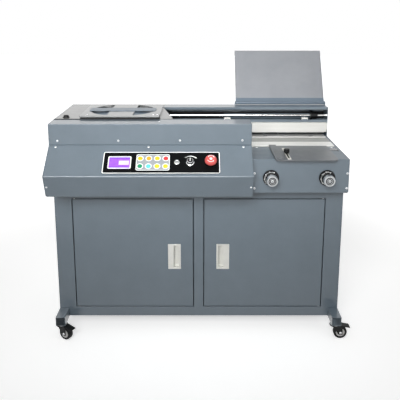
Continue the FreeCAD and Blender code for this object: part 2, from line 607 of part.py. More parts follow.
# Nylon slide pads: blocks clipped over the carriage's arms, running on the beam's lip
pads = [
    cut(box(f"{x} - nipInset", backJawY, armLow, "armWide + 2 * nipInset", "padDeep", "padTall"),
        box(x, f"{backJawY} - overrun", f"{armLow} - overrun", "armWide", "padDeep + 2 * overrun",
            "armThick + overrun"))
    for x in armXs
]
seat(group(*pads), "slide_pads")

# Front jaw: the bright clamp plate, which opens towards the front
jawFace = f"({backJawY} - seam - jawThick)"
jaw = profile("XZ_Plane", [("jawLeft", "jawLow"), ("jawRight - jawCorner", "jawLow"),
                           ("jawRight", "jawLow + jawCorner"), ("jawRight", "jawHigh"),
                           ("jawLeft", "jawHigh")],
              "jawThick", jawFace)
jawPins = [rod("Y", x, backJawY + " - seam", jawPinZ, "jawPin", "jawPinLong") for x in jawPinXs]
seat(fuse(jaw, *jawPins), "front_jaw")

# Paper rest: a leaning leaf on a rolled knuckle
leaf = profile("YZ_Plane", [("-restSkin / 2", "0"), ("restSkin / 2", "0"),
                            ("restRun + restSkin / 2", "restTall"),
                            ("restRun - restSkin / 2", "restTall")], "jawRight - restLeft", "restLeft")
knuckle = rod("X", "restLeft", "0", "0", "restKnuckle", "jawRight - restLeft")
restHole = rod("X", "restLeft - overrun", "0", "0", "restPin + pinPlay", "jawRight - restLeft + 2 * overrun")
seat(cut(fuse(leaf, knuckle), restHole), "paper_rest", "0", "hingeY", restPinZ)

# Left lid: raised pan with a round hole, a strap across it and two knuckles at the back
lidLow = "(topLift + seam)"
lidTop = "(topLift + lidRise)"
pan = cut(span("-lidLeft", "-wellLeft - seam", "lidFront", "lidBack", lidLow, lidTop),
          span("-lidLeft + skin", "-wellLeft - seam - skin", "lidFront + skin", "lidBack - skin",
               f"{lidLow} - overrun", f"{lidTop} - skin"))
hole = rod("Z", "-ventX", "ventY", "topLift", "ventRadius", "2 * lidRise")
strap = common(box("-ventX - strapWide / 2", "lidFront + skin", f"{lidTop} - skin", "strapWide",
                   "lidBack - lidFront - 2 * skin", "skin"),
               rod("Z", "-ventX", "ventY", "topLift", "ventRadius + skin", "2 * lidRise"))
knuckles = [fuse(rod("X", x, lidPinY, lidPinZ, "knuckleRadius", "knuckleLong"),
                 box(x, "lidBack - skin", lidPinZ, "knuckleLong", f"{lidPinY} - lidBack + skin",
                     "knuckleRadius"))
            for x in knuckleXs]
lidBores = [rod("X", f"{x} - overrun", lidPinY, lidPinZ, "lidPin + pinPlay", "knuckleLong + 2 * overrun")
            for x in knuckleXs]
seat(cut(fuse(cut(pan, hole), strap, *knuckles), *lidBores), "left_lid")

# Vent dome: a shallow dish under the strap, with a flat band across it from left to right
domeBase = f"({lidTop} - skin - domeRise - seam)"
domeBall = "((ventRadius * ventRadius + domeRise * domeRise) / (2 * domeRise))"


def ball(radius):
    item = doc.addObject("Part::Sphere", "Ball")
    bind(item, Radius=radius)
    move(item, "-ventX", "ventY", f"{domeBase} + domeRise - {domeBall}")
    return item


dome = common(cut(ball(domeBall), ball(f"{domeBall} - skin")),
              rod("Z", "-ventX", "ventY", f"{domeBase} - skin - seam", "ventRadius - seam", "2 * domeRise"))
band = common(box("-ventX - ventRadius - overrun", "ventY - bandDeep / 2", lidTop,
                  "2 * (ventRadius + overrun)", "bandDeep", "bandThick"),
              rod("Z", "-ventX", "ventY", lidTop, "ventRadius + overrun", "bandThick"))
seat(group(dome, band), "vent_dome")


# Hinge pins: four door pivots, two lid pins and the paper rest's long pin
def doorPins():
    pins = []
    for pinX in ("-doorRail - doorWide + doorPinInset", "doorRail + doorWide - doorPinInset"):
        for low in ("doorSill - doorGap", "doorSill + doorTall - doorPinDepth + doorGap"):
            pins.append(rod("Z", pinX, "doorPinInset", low, "doorPin", "doorPinDepth"))
    return pins


lidPins = [rod("X", f"{x} - earThick - seam", lidPinY, lidPinZ, "lidPin",
               "knuckleLong + 2 * (earThick + seam)")
           for x in knuckleXs]
longPin = rod("X", "restLeft - earThick - seam", "hingeY", restPinZ, "restPin",
              "jawRight - restLeft + 2 * (earThick + seam)")
seat(group(*doorPins(), *lidPins, longPin), "hinge_pins")


# Control panel: everything on it is drawn flat, then laid on the slope
def onSlope(item, label):
    seat(item, label, "0", "-noseReach", "noseLift", (1, 0, 0), slope)


keys = [(f"key_{word}_{column + 1}", f"(-keypadX + {column - 1.5} * keyPitchX)",
         f"(keypadV + {lift} * keyPitchV)")
        for word, lift in (("top", 0.5), ("bottom", -0.5)) for column in range(4)]
film = box("-panelLeft", "panelLow", "0", "panelLeft + panelRight", "panelHigh - panelLow", "panelThick")
keypad = box("-keypadX - keypadWide / 2", "keypadV - keypadTall / 2", "panelThick", "keypadWide",
             "keypadTall", "keypadRise")
keyHoles = [rod("Z", x, v, "-overrun", "keyRadius + keySlack", "panelThick + keypadRise + 2 * overrun")
            for label, x, v in keys]
powerHole = rod("Z", "-powerX", "buttonV", "-overrun", "powerRadius + keySlack", "panelThick + 2 * overrun")
speedHole = rod("Z", "-speedX", "buttonV", "-overrun", "speedPin + pinPlay", "panelThick + 2 * overrun")
stopHole = rod("Z", "stopX", "buttonV", "-overrun", "stopNeck + keySlack", "panelThick + 2 * overrun")
onSlope(cut(fuse(film, keypad), *keyHoles, powerHole, speedHole, stopHole), "panel_film")
onSlope(box("-screenX - screenWide / 2", "screenV - screenTall / 2", "panelThick", "screenWide", "screenTall",
            "screenThick"), "lcd_window")


def button(x, v, radius, stemRadius, rise, bevel):
    """A round button: a stem below the film and a bevelled cap."""
    return turned([("0", "-keyStemLong"), (stemRadius, "-keyStemLong"), (stemRadius, "0"), (radius, "0"),
                   (radius, f"{rise} - {bevel}"), (f"{radius} - {bevel}", rise), ("0", rise)], "Z", x, v)


for label, x, v in keys:
    onSlope(group(button(x, v, "keyRadius", "keyStem", "keyRise", "keypadRise")), label)
onSlope(group(button("-powerX", "buttonV", "powerRadius", "keyStem", "powerRise", "panelThick")),
        "power_button")
speed = turned([("0", "-keyStemLong"), ("speedPin", "-keyStemLong"), ("speedPin", "panelThick + seam"),
                ("speedRadius", "panelThick + seam"), ("speedRadius - panelThick", "speedRise"),
                ("0", "speedRise")], "Z", "-speedX", "buttonV")
pointer = box("-speedX - speedPin / 2", "buttonV", "speedRise", "speedPin", "speedRadius - panelThick * 1.5",
              "panelThick / 2")
onSlope(fuse(speed, pointer), "speed_knob")
stopLow = "(panelThick + stopRise)"
onSlope(group(turned([("0", "-keyStemLong"), ("stopNeck", "-keyStemLong"), ("stopNeck", stopLow),
                      ("stopRadius", stopLow), ("stopRadius", f"{stopLow} + stopDome"),
                      ("stopRadius - stopDome / 2", f"{stopLow} + stopThick - stopDome / 2"),
                      ("stopRadius - stopDome * 1.5", f"{stopLow} + stopThick"),
                      ("0", f"{stopLow} + stopThick")], "Z", "stopX", "buttonV")), "stop_button")


# Dial knobs: graduated collar, slim neck and knurled grip on one spindle
def dial(x):
    reach = "(collarThick + dialNeckLong)"
    return turned([("0", "-dialPinLong"), ("dialPin", "-dialPinLong"), ("dialPin", "seam"),
                   ("collarRadius", "seam"), ("collarRadius - keypadRise * 3", "collarThick"),
                   ("dialNeck", "collarThick"), ("dialNeck", reach), ("dialRadius - keypadRise", reach),
                   ("dialRadius", f"{reach} + keypadRise"), ("dialRadius", "dialReach - keypadRise"),
                   ("dialRadius - keypadRise", "dialReach"), ("0", "dialReach")],
                  "-Y", x, "-blockReach", "dialLift")


for word, x in dialXs.items():
    seat(group(dial(x)), "dial_" + word)

# Feed plate: a slab with clipped front corners, a raised fence and a bore for the gauge's clamp
feed = profile("XY_Plane", [("feedLeft", "feedBack"), ("feedLeft", "feedCorner - feedFront"),
                            ("feedLeft + feedCorner / 3", "feedCorner / 3 - feedFront"),
                            ("feedLeft + feedCorner", "-feedFront"), ("feedRight - feedCorner", "-feedFront"),
                            ("feedRight - feedCorner / 3", "feedCorner / 3 - feedFront"),
                            ("feedRight", "feedCorner - feedFront"), ("feedRight", "feedBack")],
               "feedThick", "deckLift")
feedTop = "(deckLift + feedThick)"
fence = span("feedLeft", "feedLeft + fenceWide", "feedCorner - feedFront", "feedBack", feedTop,
             f"{feedTop} + fenceRise")
clampBore = rod("Z", "gaugeX", "-clampY", "deckLift", "clampPin + pinPlay", "feedThick + overrun")
seat(cut(fuse(feed, fence), clampBore), "feed_plate")
gaugeSlot = span("gaugeX - slotWide / 2", "gaugeX + slotWide / 2", "-slotFront", "slotBack", "deckLift",
                 f"{feedTop} + overrun + gaugeThick")
seat(cut(box("gaugeX - gaugeWide / 2", "-gaugeFront", f"{feedTop} + seam", "gaugeWide",
             "gaugeFront + gaugeBack", "gaugeThick"), gaugeSlot), "side_gauge")
gaugeTop = "(feedThick + gaugeThick + 2 * seam)"
seat(group(turned([("0", "seam"), ("clampPin", "seam"), ("clampPin", gaugeTop), ("nutRadius", gaugeTop),
                   ("nutRadius", f"{gaugeTop} + nutRise"), ("clampRadius", f"{gaugeTop} + nutRise"),
                   ("clampRadius", f"{gaugeTop} + clampRise"),
                   ("clampRadius - keypadRise", f"{gaugeTop} + clampRise + keypadRise"),
                   ("0", f"{gaugeTop} + clampRise + keypadRise")])),
     "gauge_knob", "gaugeX", "-clampY", "deckLift")

# Glue tank: open trough whose front and back walls carry the roller's shaft
tank = cut(span("-tankLeft", "-tankRight", "tankFront", "tankBack", "headLift", "headLift + tankTall"),
           span("-tankLeft + tankWall", "-tankRight - tankWall", "tankFront + tankWall",
                "tankBack - tankWall", "headLift + tankWall", "headLift + tankTall + overrun"),
           rod("Y", "-rollerX", "tankFront - overrun", "rollerLift", "rollerPin + pinPlay",
               "tankBack - tankFront + 2 * overrun"))
seat(tank, "glue_tank")
rollerLong = "(tankBack - tankFront)"
seat(group(turned([("0", "0"), ("rollerPin", "0"), ("rollerPin", "tankWall + rollerEnd"),
                   ("rollerRadius", "tankWall + rollerEnd"),
                   ("rollerRadius", f"{rollerLong} - tankWall - rollerEnd"),
                   ("rollerPin", f"{rollerLong} - tankWall - rollerEnd"), ("rollerPin", rollerLong),
                   ("0", rollerLong)], "Y")), "glue_roller", "-rollerX", "tankFront", "rollerLift")

# Milling head: finned motor on the base, and a disc of cutting teeth on its shaft
motorTop = "(headLift + motorTall)"
motor = rod("Z", "0", "0", "headLift", "motorRadius", "motorTall")
shaftBore = rod("Z", "0", "0", f"{motorTop} - millShaftDeep", "millShaft + pinPlay",
                "millShaftDeep + overrun")


def around(count, item, turn):
    item.Placement.Rotation = FreeCAD.Rotation(FreeCAD.Vector(0, 0, 1), turn * 360 / count)
    return item


fins = [around(sizes["finCount"], box("0", "0", "headLift + finReach", "motorRadius + finReach", "finThick",
                                      "motorTall - 4 * finReach"), i)
        for i in range(sizes["finCount"])]
seat(cut(fuse(motor, *fins), shaftBore), "milling_motor", "-millX", "millY")
discLow = f"({motorTop} + millRise)"
shaftLow = f"{motorTop} - millShaftDeep + seam"
disc = turned([("0", shaftLow), ("millShaft", shaftLow), ("millShaft", discLow), ("millRadius", discLow),
               ("millRadius", f"{discLow} + millThick"),
               ("0", f"{discLow} + millThick")])
teeth = []
for i in range(sizes["toothCount"]):
    turn = f"{i} * 360 / toothCount * 1deg"
    teeth.append(rod("Z", f"toothCircle * cos({turn})", f"toothCircle * sin({turn})",
                     f"{discLow} + millThick / 2", "toothRadius", "millThick / 2 + toothRise"))
seat(fuse(disc, *teeth), "milling_disc", "-millX", "millY")

# Control box: case of the drive and heater electronics, with a vented lid, standing in the cabinet
caseTop = f"({footTop} + skin + caseTall)"
case = span("-caseLeft", "-caseRight", "caseFront", "caseBack", f"{footTop} + skin", caseTop)
caseLid = span("-caseLeft - skin", "-caseRight + skin", "caseFront - skin", "caseBack + skin",
               f"{caseTop} - stripReturn", f"{caseTop} + skin")
slots = [box(f"-caseLeft + {i + 1} * casePitch", "caseFront + casePitch", f"{caseTop} - stripReturn",
             "louvreTall", "caseBack - caseFront - 2 * casePitch", "stripReturn + overrun")
         for i in range(sizes["caseSlots"])]
seat(cut(fuse(case, caseLid), *slots), "control_box")

# Build, check every object, then write one file per node
doc.recompute()
faults = [item.Name for item in doc.Objects if "Invalid" in item.State or "Error" in item.State]
faults += [label for label, item in nodes.items() if item.Shape.isNull() or not item.Shape.isValid()]
if faults:
    raise RuntimeError("objects with faults: " + ", ".join(faults))
os.makedirs("parts", exist_ok=True)
for label, item in nodes.items():
    item.Shape.exportStep(f"parts/{label}.step")
print(len(nodes), "nodes written")
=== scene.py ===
import bmesh
import bpy
import json
import math
from mathutils import Matrix, Vector


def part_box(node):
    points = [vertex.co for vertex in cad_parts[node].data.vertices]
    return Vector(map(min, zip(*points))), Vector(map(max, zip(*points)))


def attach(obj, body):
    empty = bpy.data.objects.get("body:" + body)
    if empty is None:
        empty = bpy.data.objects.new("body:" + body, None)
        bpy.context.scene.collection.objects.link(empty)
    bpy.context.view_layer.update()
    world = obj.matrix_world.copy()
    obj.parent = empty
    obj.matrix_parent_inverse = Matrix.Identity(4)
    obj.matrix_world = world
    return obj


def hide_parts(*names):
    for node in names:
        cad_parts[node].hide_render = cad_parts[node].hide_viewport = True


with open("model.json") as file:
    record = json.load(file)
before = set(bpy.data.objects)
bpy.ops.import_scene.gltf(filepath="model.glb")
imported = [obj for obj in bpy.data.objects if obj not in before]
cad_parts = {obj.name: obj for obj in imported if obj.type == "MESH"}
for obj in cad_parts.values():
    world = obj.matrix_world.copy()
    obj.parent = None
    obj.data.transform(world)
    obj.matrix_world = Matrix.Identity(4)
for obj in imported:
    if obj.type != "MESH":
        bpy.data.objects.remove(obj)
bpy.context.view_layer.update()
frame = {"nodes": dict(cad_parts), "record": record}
print("frame loaded:", len(frame["nodes"]), "nodes")

# Places are given in mm: x to the right, y back from the cabinet's front, z up
mm = 0.001
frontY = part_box("cabinet_front")[0].y
bodyOf = {node: body for body, nodes in frame["record"]["behaviour"]["bodies"].items() for node in nodes}


def place(x, y, z):
    return Vector((x * mm, y * mm + frontY, z * mm))


# The panel's slope: u across, v up from the nose, w outwards
slope = {"noseY": -133, "noseZ": 631, "topY": -31, "topZ": 713}
slopeTurn = math.atan2(slope["topZ"] - slope["noseZ"], slope["topY"] - slope["noseY"])


def onSlope(u, v, w):
    return (Matrix.Translation(place(0, slope["noseY"], slope["noseZ"])) @ Matrix.Rotation(slopeTurn, 4, "X")
            @ Matrix.Translation(Vector((u, v, w)) * mm))


def facing(x, y, z, way):
    # way is the direction that the piece's own +Z looks in
    turn = Vector(way).to_track_quat("Z", "X" if abs(way[1]) > 0.9 else "Y").to_matrix().to_4x4()
    return Matrix.Translation(place(x, y, z)) @ turn


# Colours and materials
def paint(hexText, alpha=1.0):
    values = [int(hexText[i:i + 2], 16) / 255 for i in (1, 3, 5)]
    return (*[v / 12.92 if v <= 0.04045 else ((v + 0.055) / 1.055) ** 2.4 for v in values], alpha)


def addNode(tree, kind, settings=None, links=None):
    node = tree.nodes.new(kind)
    for name, value in (settings or {}).items():
        if isinstance(name, str) and hasattr(node, name):
            setattr(node, name, value)
        else:
            node.inputs[name].default_value = value
    for name, source in (links or {}).items():
        output = source[0].outputs[source[1]] if isinstance(source, tuple) else source.outputs[0]
        tree.links.new(output, node.inputs[name])
    return node


def newMaterial(name, settings):
    material = bpy.data.materials.new(name)
    material.use_nodes = True
    tree = material.node_tree
    shader = tree.nodes["Principled BSDF"]
    for socket, value in settings.items():
        shader.inputs[socket].default_value = value
    return material, tree, shader


def mottled(tree, shader, coords, dark, light, grainMm, contrast=0.5):
    # colour that wanders between two close tones
    noise = addNode(tree, "ShaderNodeTexNoise", {"Scale": 1 / (grainMm * mm), "Detail": 4.0, "Roughness": 0.6},
                    {"Vector": coords})
    ramp = addNode(tree, "ShaderNodeValToRGB", {}, {"Fac": (noise, "Fac")})
    first, last = ramp.color_ramp.elements
    first.position, last.position = 0.5 - contrast / 2, 0.5 + contrast / 2
    first.color, last.color = paint(dark), paint(light)
    tree.links.new(ramp.outputs["Color"], shader.inputs["Base Color"])


def roughened(tree, shader, coords, low, high, grainMm):
    noise = addNode(tree, "ShaderNodeTexNoise", {"Scale": 1 / (grainMm * mm), "Detail": 5.0}, {"Vector": coords})
    span = addNode(tree, "ShaderNodeMapRange", {"From Min": 0.3, "From Max": 0.7, "To Min": low, "To Max": high},
                   {"Value": (noise, "Fac")})
    tree.links.new(span.outputs["Result"], shader.inputs["Roughness"])


def bumped(tree, shader, height, depthMm, strength=1.0):
    bump = addNode(tree, "ShaderNodeBump", {"Strength": strength, "Distance": depthMm * mm}, {"Height": height})
    tree.links.new(bump.outputs["Normal"], shader.inputs["Normal"])


def objectCoords(tree, stretch=(1, 1, 1)):
    coords = addNode(tree, "ShaderNodeTexCoord")
    return addNode(tree, "ShaderNodeMapping", {"Scale": stretch}, {"Vector": (coords, "Object")})


def powderCoat(name, dark, light, roughness=0.42, gloss=0.1, skin=1.0):
    # sprayed and baked polyester powder on steel: a satin body under a glossier skin, which takes the white
    # surroundings at low angles, and a fine orange peel that breaks up reflections
    material, tree, shader = newMaterial(name, {"Roughness": roughness, "Specular IOR Level": 0.4, "Coat IOR": 1.5,
                                                "Coat Weight": skin, "Coat Roughness": gloss})
    coords = objectCoords(tree)
    mottled(tree, shader, coords, dark, light, 90)
    roughened(tree, shader, coords, roughness - 0.04, roughness + 0.06, 35)
    # real orange peel is about 1 mm across; drawn at 3 mm so that it shows
    peel = addNode(tree, "ShaderNodeTexNoise", {"Scale": 1 / (3 * mm), "Detail": 2.0}, {"Vector": coords})
    bumped(tree, shader, (peel, "Fac"), 0.06, 0.5)
    return material


def brushedMetal(name, dark, light, low, high, along, peelMm=0.04, metal=1.0):
    # rolled or belt-ground sheet: long fine scratches that stretch the highlights across them; a dull oxide
    # or zinc skin leaves it a little less than fully metallic
    material, tree, shader = newMaterial(name, {"Metallic": metal, "Roughness": (low + high) / 2})
    stretch = {"x": (0.03, 1, 1), "y": (1, 0.03, 1), "z": (1, 1, 0.03)}[along]
    coords = objectCoords(tree, stretch)
    mottled(tree, shader, coords, dark, light, 2.5, 0.6)
    roughened(tree, shader, coords, low, high, 2.5)
    lines = addNode(tree, "ShaderNodeTexNoise", {"Scale": 1 / (1.2 * mm), "Detail": 3.0}, {"Vector": coords})
    bumped(tree, shader, (lines, "Fac"), peelMm, 0.4)
    return material


def plainMetal(name, dark, light, low, high, grainMm=12, depthMm=0.02):
    # plated, turned or cast metal: even colour, faint wear in the gloss
    material, tree, shader = newMaterial(name, {"Metallic": 1.0})
    coords = objectCoords(tree)
    mottled(tree, shader, coords, dark, light, grainMm)
    roughened(tree, shader, coords, low, high, grainMm)
    grain = addNode(tree, "ShaderNodeTexNoise", {"Scale": 1 / (1.5 * mm), "Detail": 4.0}, {"Vector": coords})
    bumped(tree, shader, (grain, "Fac"), depthMm, 0.4)
    return material


def mouldedPlastic(name, dark, light, roughness, grainMm=1.2, depthMm=0.02, ior=1.49):
    # injection-moulded plastic or film: a fine spark-eroded grain and nearly even colour
    material, tree, shader = newMaterial(name, {"Roughness": roughness, "IOR": ior})
    coords = objectCoords(tree)
    mottled(tree, shader, coords, dark, light, 25)
    roughened(tree, shader, coords, max(roughness - 0.05, 0.05), roughness + 0.05, 9)
    grain = addNode(tree, "ShaderNodeTexNoise", {"Scale": 1 / (grainMm * mm), "Detail": 2.0}, {"Vector": coords})
    bumped(tree, shader, (grain, "Fac"), depthMm, 0.4)
    return material


finishes = {
    "coat": powderCoat("greyPowderCoatedSteel", "#5f6c76", "#66737d"),
    # the roof's warmer, paler grey is a painted sheen: its top face's reflection of the surroundings
    "coatRoof": powderCoat("warmGreyCoatPaintedSheen", "#666765", "#6e6f6d"),
    "coatDeck": powderCoat("deckGreyPowderCoatedSteel", "#5f6c76", "#66737d", 0.45, 0.3, 0.3),
    "coatRest": powderCoat("silverGreyPowderCoatedSteel", "#84878c", "#8d9095", 0.4, 0.2),
    "coatPale": powderCoat("paleGreyPowderCoatedSteel", "#7b7d7d", "#838584"),
    "coatBand": powderCoat("blueGreyPowderCoatedSteel", "#5c6a77", "#63717e", 0.42, 0.2, 0.4),
    "coatTable": powderCoat("darkGreyPowderCoatedPlate", "#555a5e", "#5c6064", 0.45, 0.3, 0.5),
    "bed": brushedMetal("galvanisedBedSheet", "#9b9d9b", "#adaeac", 0.4, 0.55, "x", 0.04, 0.6),
    "jaw": brushedMetal("groundJawSteel", "#c4c4c0", "#d2d2ce", 0.4, 0.55, "x", 0.03, 0.7),
    "stainless": brushedMetal("brushedStainlessSheet", "#dcdad5", "#eceae5", 0.42, 0.58, "x"),
    "bright": brushedMetal("groundSteelBar", "#ecece9", "#f8f8f6", 0.3, 0.45, "x", 0.02, 0.6),
    "chrome": plainMetal("chromePlatedSteel", "#dfe1e2", "#ebedee", 0.06, 0.14),
    "satin": plainMetal("satinChromedGrip", "#b4b7b9", "#c2c5c6", 0.22, 0.34),
    "rod": plainMetal("hardChromedRod", "#ecece9", "#f4f4f2", 0.2, 0.24, 40, 0.0004),
    "zinc": plainMetal("brightZincPlatedScrew", "#f0f1f3", "#fbfbfc", 0.4, 0.55, 4),
    "cast": plainMetal("dieCastAluminium", "#a3a5a7", "#b3b5b6", 0.35, 0.5, 8, 0.08),
    "white": mouldedPlastic("whiteMouldedAbs", "#dcdcd6", "#e6e6e0", 0.34),
    "nylon": mouldedPlastic("machinedNylonBlock", "#ecebe4", "#f6f5f0", 0.45, 2, 0.04),
    "black": mouldedPlastic("blackMouldedNylon", "#0a0b0c", "#121314", 0.45, 1.5, 0.05, 1.33),
    # flat black for painted shade: the gaps under the lid, the roof's edge and the band behind the guide rod
    "shadeBlack": mouldedPlastic("flatBlackPaintedShade", "#0b0c0e", "#141516", 0.8, 2, 0.2),
    "rubber": mouldedPlastic("blackPolyurethaneTyre", "#0c0d0e", "#141516", 0.55, 2, 0.05, 1.3),
    "hub": mouldedPlastic("greyWhiteMouldedNylonHub", "#d3d1cf", "#e2e0de", 0.4),
    "film": mouldedPlastic("blackPolyesterFilm", "#08090a", "#0c0d0f", 0.6, 0.8, 0.01, 1.15),
    "ink": mouldedPlastic("whiteScreenPrintedInk", "#f1f5f3", "#fafcfb", 0.45, 1, 0.01),
    "membrane": mouldedPlastic("paleGreyKeypadMembrane", "#969ca0", "#a1a6a9", 0.42, 1, 0.02),
    "red": mouldedPlastic("salmonRedMouldedAbs", "#cf5450", "#d8605c", 0.42),
    "yellow": mouldedPlastic("yellowMouldedKey", "#dcc91c", "#e6d42c", 0.36),
    "amber": mouldedPlastic("amberMouldedKey", "#dfa826", "#e9b434", 0.36),
    "keyRed": mouldedPlastic("redMouldedKey", "#cc3134", "#d64042", 0.36),
    "green": mouldedPlastic("greenMouldedKey", "#158a5e", "#209a6c", 0.36),
    "cyan": mouldedPlastic("cyanMouldedKey", "#52c4c6", "#68d0d2", 0.36),
    "glue": mouldedPlastic("setHotMeltGlue", "#cfb98a", "#d9c597", 0.25, 6, 0.4),
}


def litScreen():
    # backlit liquid crystal: the purple glows a little, so it never falls into shade
    material, tree, shader = newMaterial("litPurpleDisplay", {"Roughness": 0.3, "Emission Strength": 0.26})
    coords = objectCoords(tree)
    mottled(tree, shader, coords, "#8848d4", "#a060e2", 14)
    for link in list(shader.inputs["Base Color"].links):
        tree.links.new(link.from_socket, shader.inputs["Emission Color"])
    return material


def clearAcrylic():
    # laser-cut sheet: clear faces and a bright sawn edge
    material, tree, shader = newMaterial("clearCastAcrylic", {"Transmission Weight": 0.75, "IOR": 1.49})
    coords = objectCoords(tree)
    mottled(tree, shader, coords, "#c9ced2", "#d6dadd", 20)
    roughened(tree, shader, coords, 0.08, 0.2, 10)
    return material


finishes["screen"] = litScreen()
finishes["acrylic"] = clearAcrylic()
finishes["screenDark"] = mouldedPlastic("dimDisplayBar", "#7a43cf", "#8a50da", 0.3)
finishes["screenPale"] = mouldedPlastic("paleDisplayField", "#dccff3", "#e8def8", 0.3)
print("materials made:", len(finishes))


# Mesh helpers
def tinted(piece, finish):
    piece.data.materials.clear()
    piece.data.materials.append(finishes[finish])
    return piece


def finishPiece(piece, body, finish=None, node=None):
    if finish:
        tinted(piece, finish)
    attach(piece, body)
    if node:
        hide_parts(node)
    return piece


def dashed(word):
    return word.replace("_", "-")


def standIn(piece, node, finish=None):
    # a piece that takes the whole node's place
    return finishPiece(piece, bodyOf[node], finish, node)


def linkMesh(name, mesh):
    piece = bpy.data.objects.new(name, mesh)
    bpy.context.scene.collection.objects.link(piece)
    return piece


def flatten(piece):
    # turns the piece with its modifiers into a plain mesh
    graph = bpy.context.evaluated_depsgraph_get()
    mesh = bpy.data.meshes.new_from_object(piece.evaluated_get(graph), depsgraph=graph)
    piece.modifiers.clear()
    old = piece.data
    piece.data = mesh
    bpy.data.meshes.remove(old)
    return piece


def softEdges(piece, widthMm, segments=2, byWeight=False, angle=28):
    bevel = piece.modifiers.new("foldRadius", "BEVEL")
    bevel.width = widthMm * mm
    bevel.segments = segments
    bevel.limit_method = "WEIGHT" if byWeight else "ANGLE"
    bevel.angle_limit = math.radians(angle)
    bevel.use_clamp_overlap, bevel.loop_slide = False, False
    bevel.miter_outer = "MITER_ARC"
    flat = piece.modifiers.new("flatFaces", "WEIGHTED_NORMAL")
    flat.weight, flat.keep_sharp = 100, True
    return flatten(piece)


def cleanCopy(node):
    mesh = frame["nodes"][node].data.copy()
    mesh.materials.clear()
    shape = bmesh.new()
    shape.from_mesh(mesh)
    bmesh.ops.remove_doubles(shape, verts=shape.verts, dist=0.02 * mm)
    bmesh.ops.join_triangles(shape, faces=shape.faces, angle_face_threshold=math.radians(0.3),
                             angle_shape_threshold=math.pi)
    return mesh, shape


def dressed(node, finish, widthMm=0.6, folds=(), foldMm=2.4, segments=2, angle=28, trim=None):
    # a copy of the CAD solid with rounded edges; folds are (y, z) lines along x that get a bigger radius
    mesh, shape = cleanCopy(node)
    weights = shape.edges.layers.float.get("bevel_weight_edge") or shape.edges.layers.float.new("bevel_weight_edge")
    lines = [place(0, y, z) for y, z in folds]
    if trim:
        trim(shape)
    for face in shape.faces:
        face.smooth = True
    for edge in shape.edges:
        if len(edge.link_faces) != 2 or edge.calc_face_angle(0) < math.radians(angle):
            continue
        big = any(all(math.hypot(v.co.y - line.y, v.co.z - line.z) < 0.2 * mm for v in edge.verts) for line in lines)
        edge[weights] = 1.0 if big or not folds else widthMm / foldMm
    for word in [finish] if isinstance(finish, str) else finish:
        mesh.materials.append(finishes[word])
    shape.to_mesh(mesh)
    shape.free()
    piece = linkMesh(dashed(node) + "-skin", mesh)
    softEdges(piece, foldMm if folds else widthMm, segments, True)
    return standIn(piece, node)


def painted(test, *planes):
    # a trim that cuts the mesh along planes; the test gives each face the number of its finish
    def trim(shape):
        for co, no in planes:
            bmesh.ops.bisect_plane(shape, geom=shape.verts[:] + shape.edges[:] + shape.faces[:], dist=0.001 * mm,
                                   plane_co=co, plane_no=no)
        for face in shape.faces:
            face.material_index = int(test(face.calc_center_median(), face.normal))
    return trim


def solid(name, points, faces, matrix=None):
    mesh = bpy.data.meshes.new(name)
    mesh.from_pydata([Vector(p) * mm for p in points], [], faces)
    shape = bmesh.new()
    shape.from_mesh(mesh)
    bmesh.ops.remove_doubles(shape, verts=shape.verts, dist=0.005 * mm)
    bmesh.ops.recalc_face_normals(shape, faces=shape.faces)
    shape.to_mesh(mesh)
    shape.free()
    if matrix:
        mesh.transform(matrix)
    return linkMesh(name, mesh)


def shaded(piece, angle=35):
    piece.data.shade_smooth()
    piece.data.set_sharp_from_angle(angle=math.radians(angle))
    return piece


def lathed(name, outline, steps=48, matrix=None, ripple=None, angle=35):
    # outline is (radius, height) from one pole to the other, in mm; ripple changes a radius by angle
    points, rings, faces = [], [], []
    for row, (radius, height) in enumerate(outline):
        if radius == 0:
            rings.append([len(points)] * steps)
            points.append((0, 0, height))
            continue
        rings.append(list(range(len(points), len(points) + steps)))
        for i in range(steps):
            turn = 2 * math.pi * i / steps
            r = radius + (ripple(row, i) if ripple else 0)
            points.append((r * math.cos(turn), r * math.sin(turn), height))
    for lower, upper in zip(rings, rings[1:]):
        for i in range(steps):
            j = (i + 1) % steps
            corners = [lower[i], lower[j], upper[j], upper[i]]
            corners = [c for k, c in enumerate(corners) if c not in corners[:k]]
            if len(corners) > 2:
                faces.append(corners)
    return shaded(solid(name, points, faces, matrix), angle)


def roundedRect(wide, tall, radius, steps=6):
    outline = []
    for cx, cy, start in ((1, 1, 0), (-1, 1, 90), (-1, -1, 180), (1, -1, 270)):
        for i in range(steps + 1):
            turn = math.radians(start + 90 * i / steps)
            outline.append((cx * (wide / 2 - radius) + radius * math.cos(turn),
                            cy * (tall / 2 - radius) + radius * math.sin(turn)))
    return outline


def slab(name, outline, low, high, matrix=None, edgeMm=0.0):
    count = len(outline)
    points = [(x, y, low) for x, y in outline] + [(x, y, high) for x, y in outline]
    faces = [list(range(count)), list(range(count, 2 * count))]
    faces += [[i, (i + 1) % count, count + (i + 1) % count, count + i] for i in range(count)]
    piece = solid(name, points, faces)
    if edgeMm:
        softEdges(piece, edgeMm)
    if matrix:
        piece.data.transform(matrix)
    return piece


def band(name, outer, inner, low, high, matrix=None):
    # a flat closed frame between two outlines of the same number of points
    count = len(outer)
    points = [(x, y, z) for z in (low, high) for line in (outer, inner) for x, y in line]
    faces = []
    for i in range(count):
        j = (i + 1) % count
        faces += [[i, j, count + j, count + i], [2 * count + i, 2 * count + j, 3 * count + j, 3 * count + i],
                  [i, j, 2 * count + j, 2 * count + i], [count + i, count + j, 3 * count + j, 3 * count + i]]
    return solid(name, points, faces, matrix)


def arcLine(radius, start, sweep, steps):
    turns = [math.radians(start + sweep * i / steps) for i in range(steps + 1)]
    return [(radius * math.cos(turn), radius * math.sin(turn)) for turn in turns]


def circle(radius, steps=40):
    return arcLine(radius, 0, 360, steps)[:-1]


def moved(outline, x, y):
    return [(x + dx, y + dy) for dx, dy in outline]


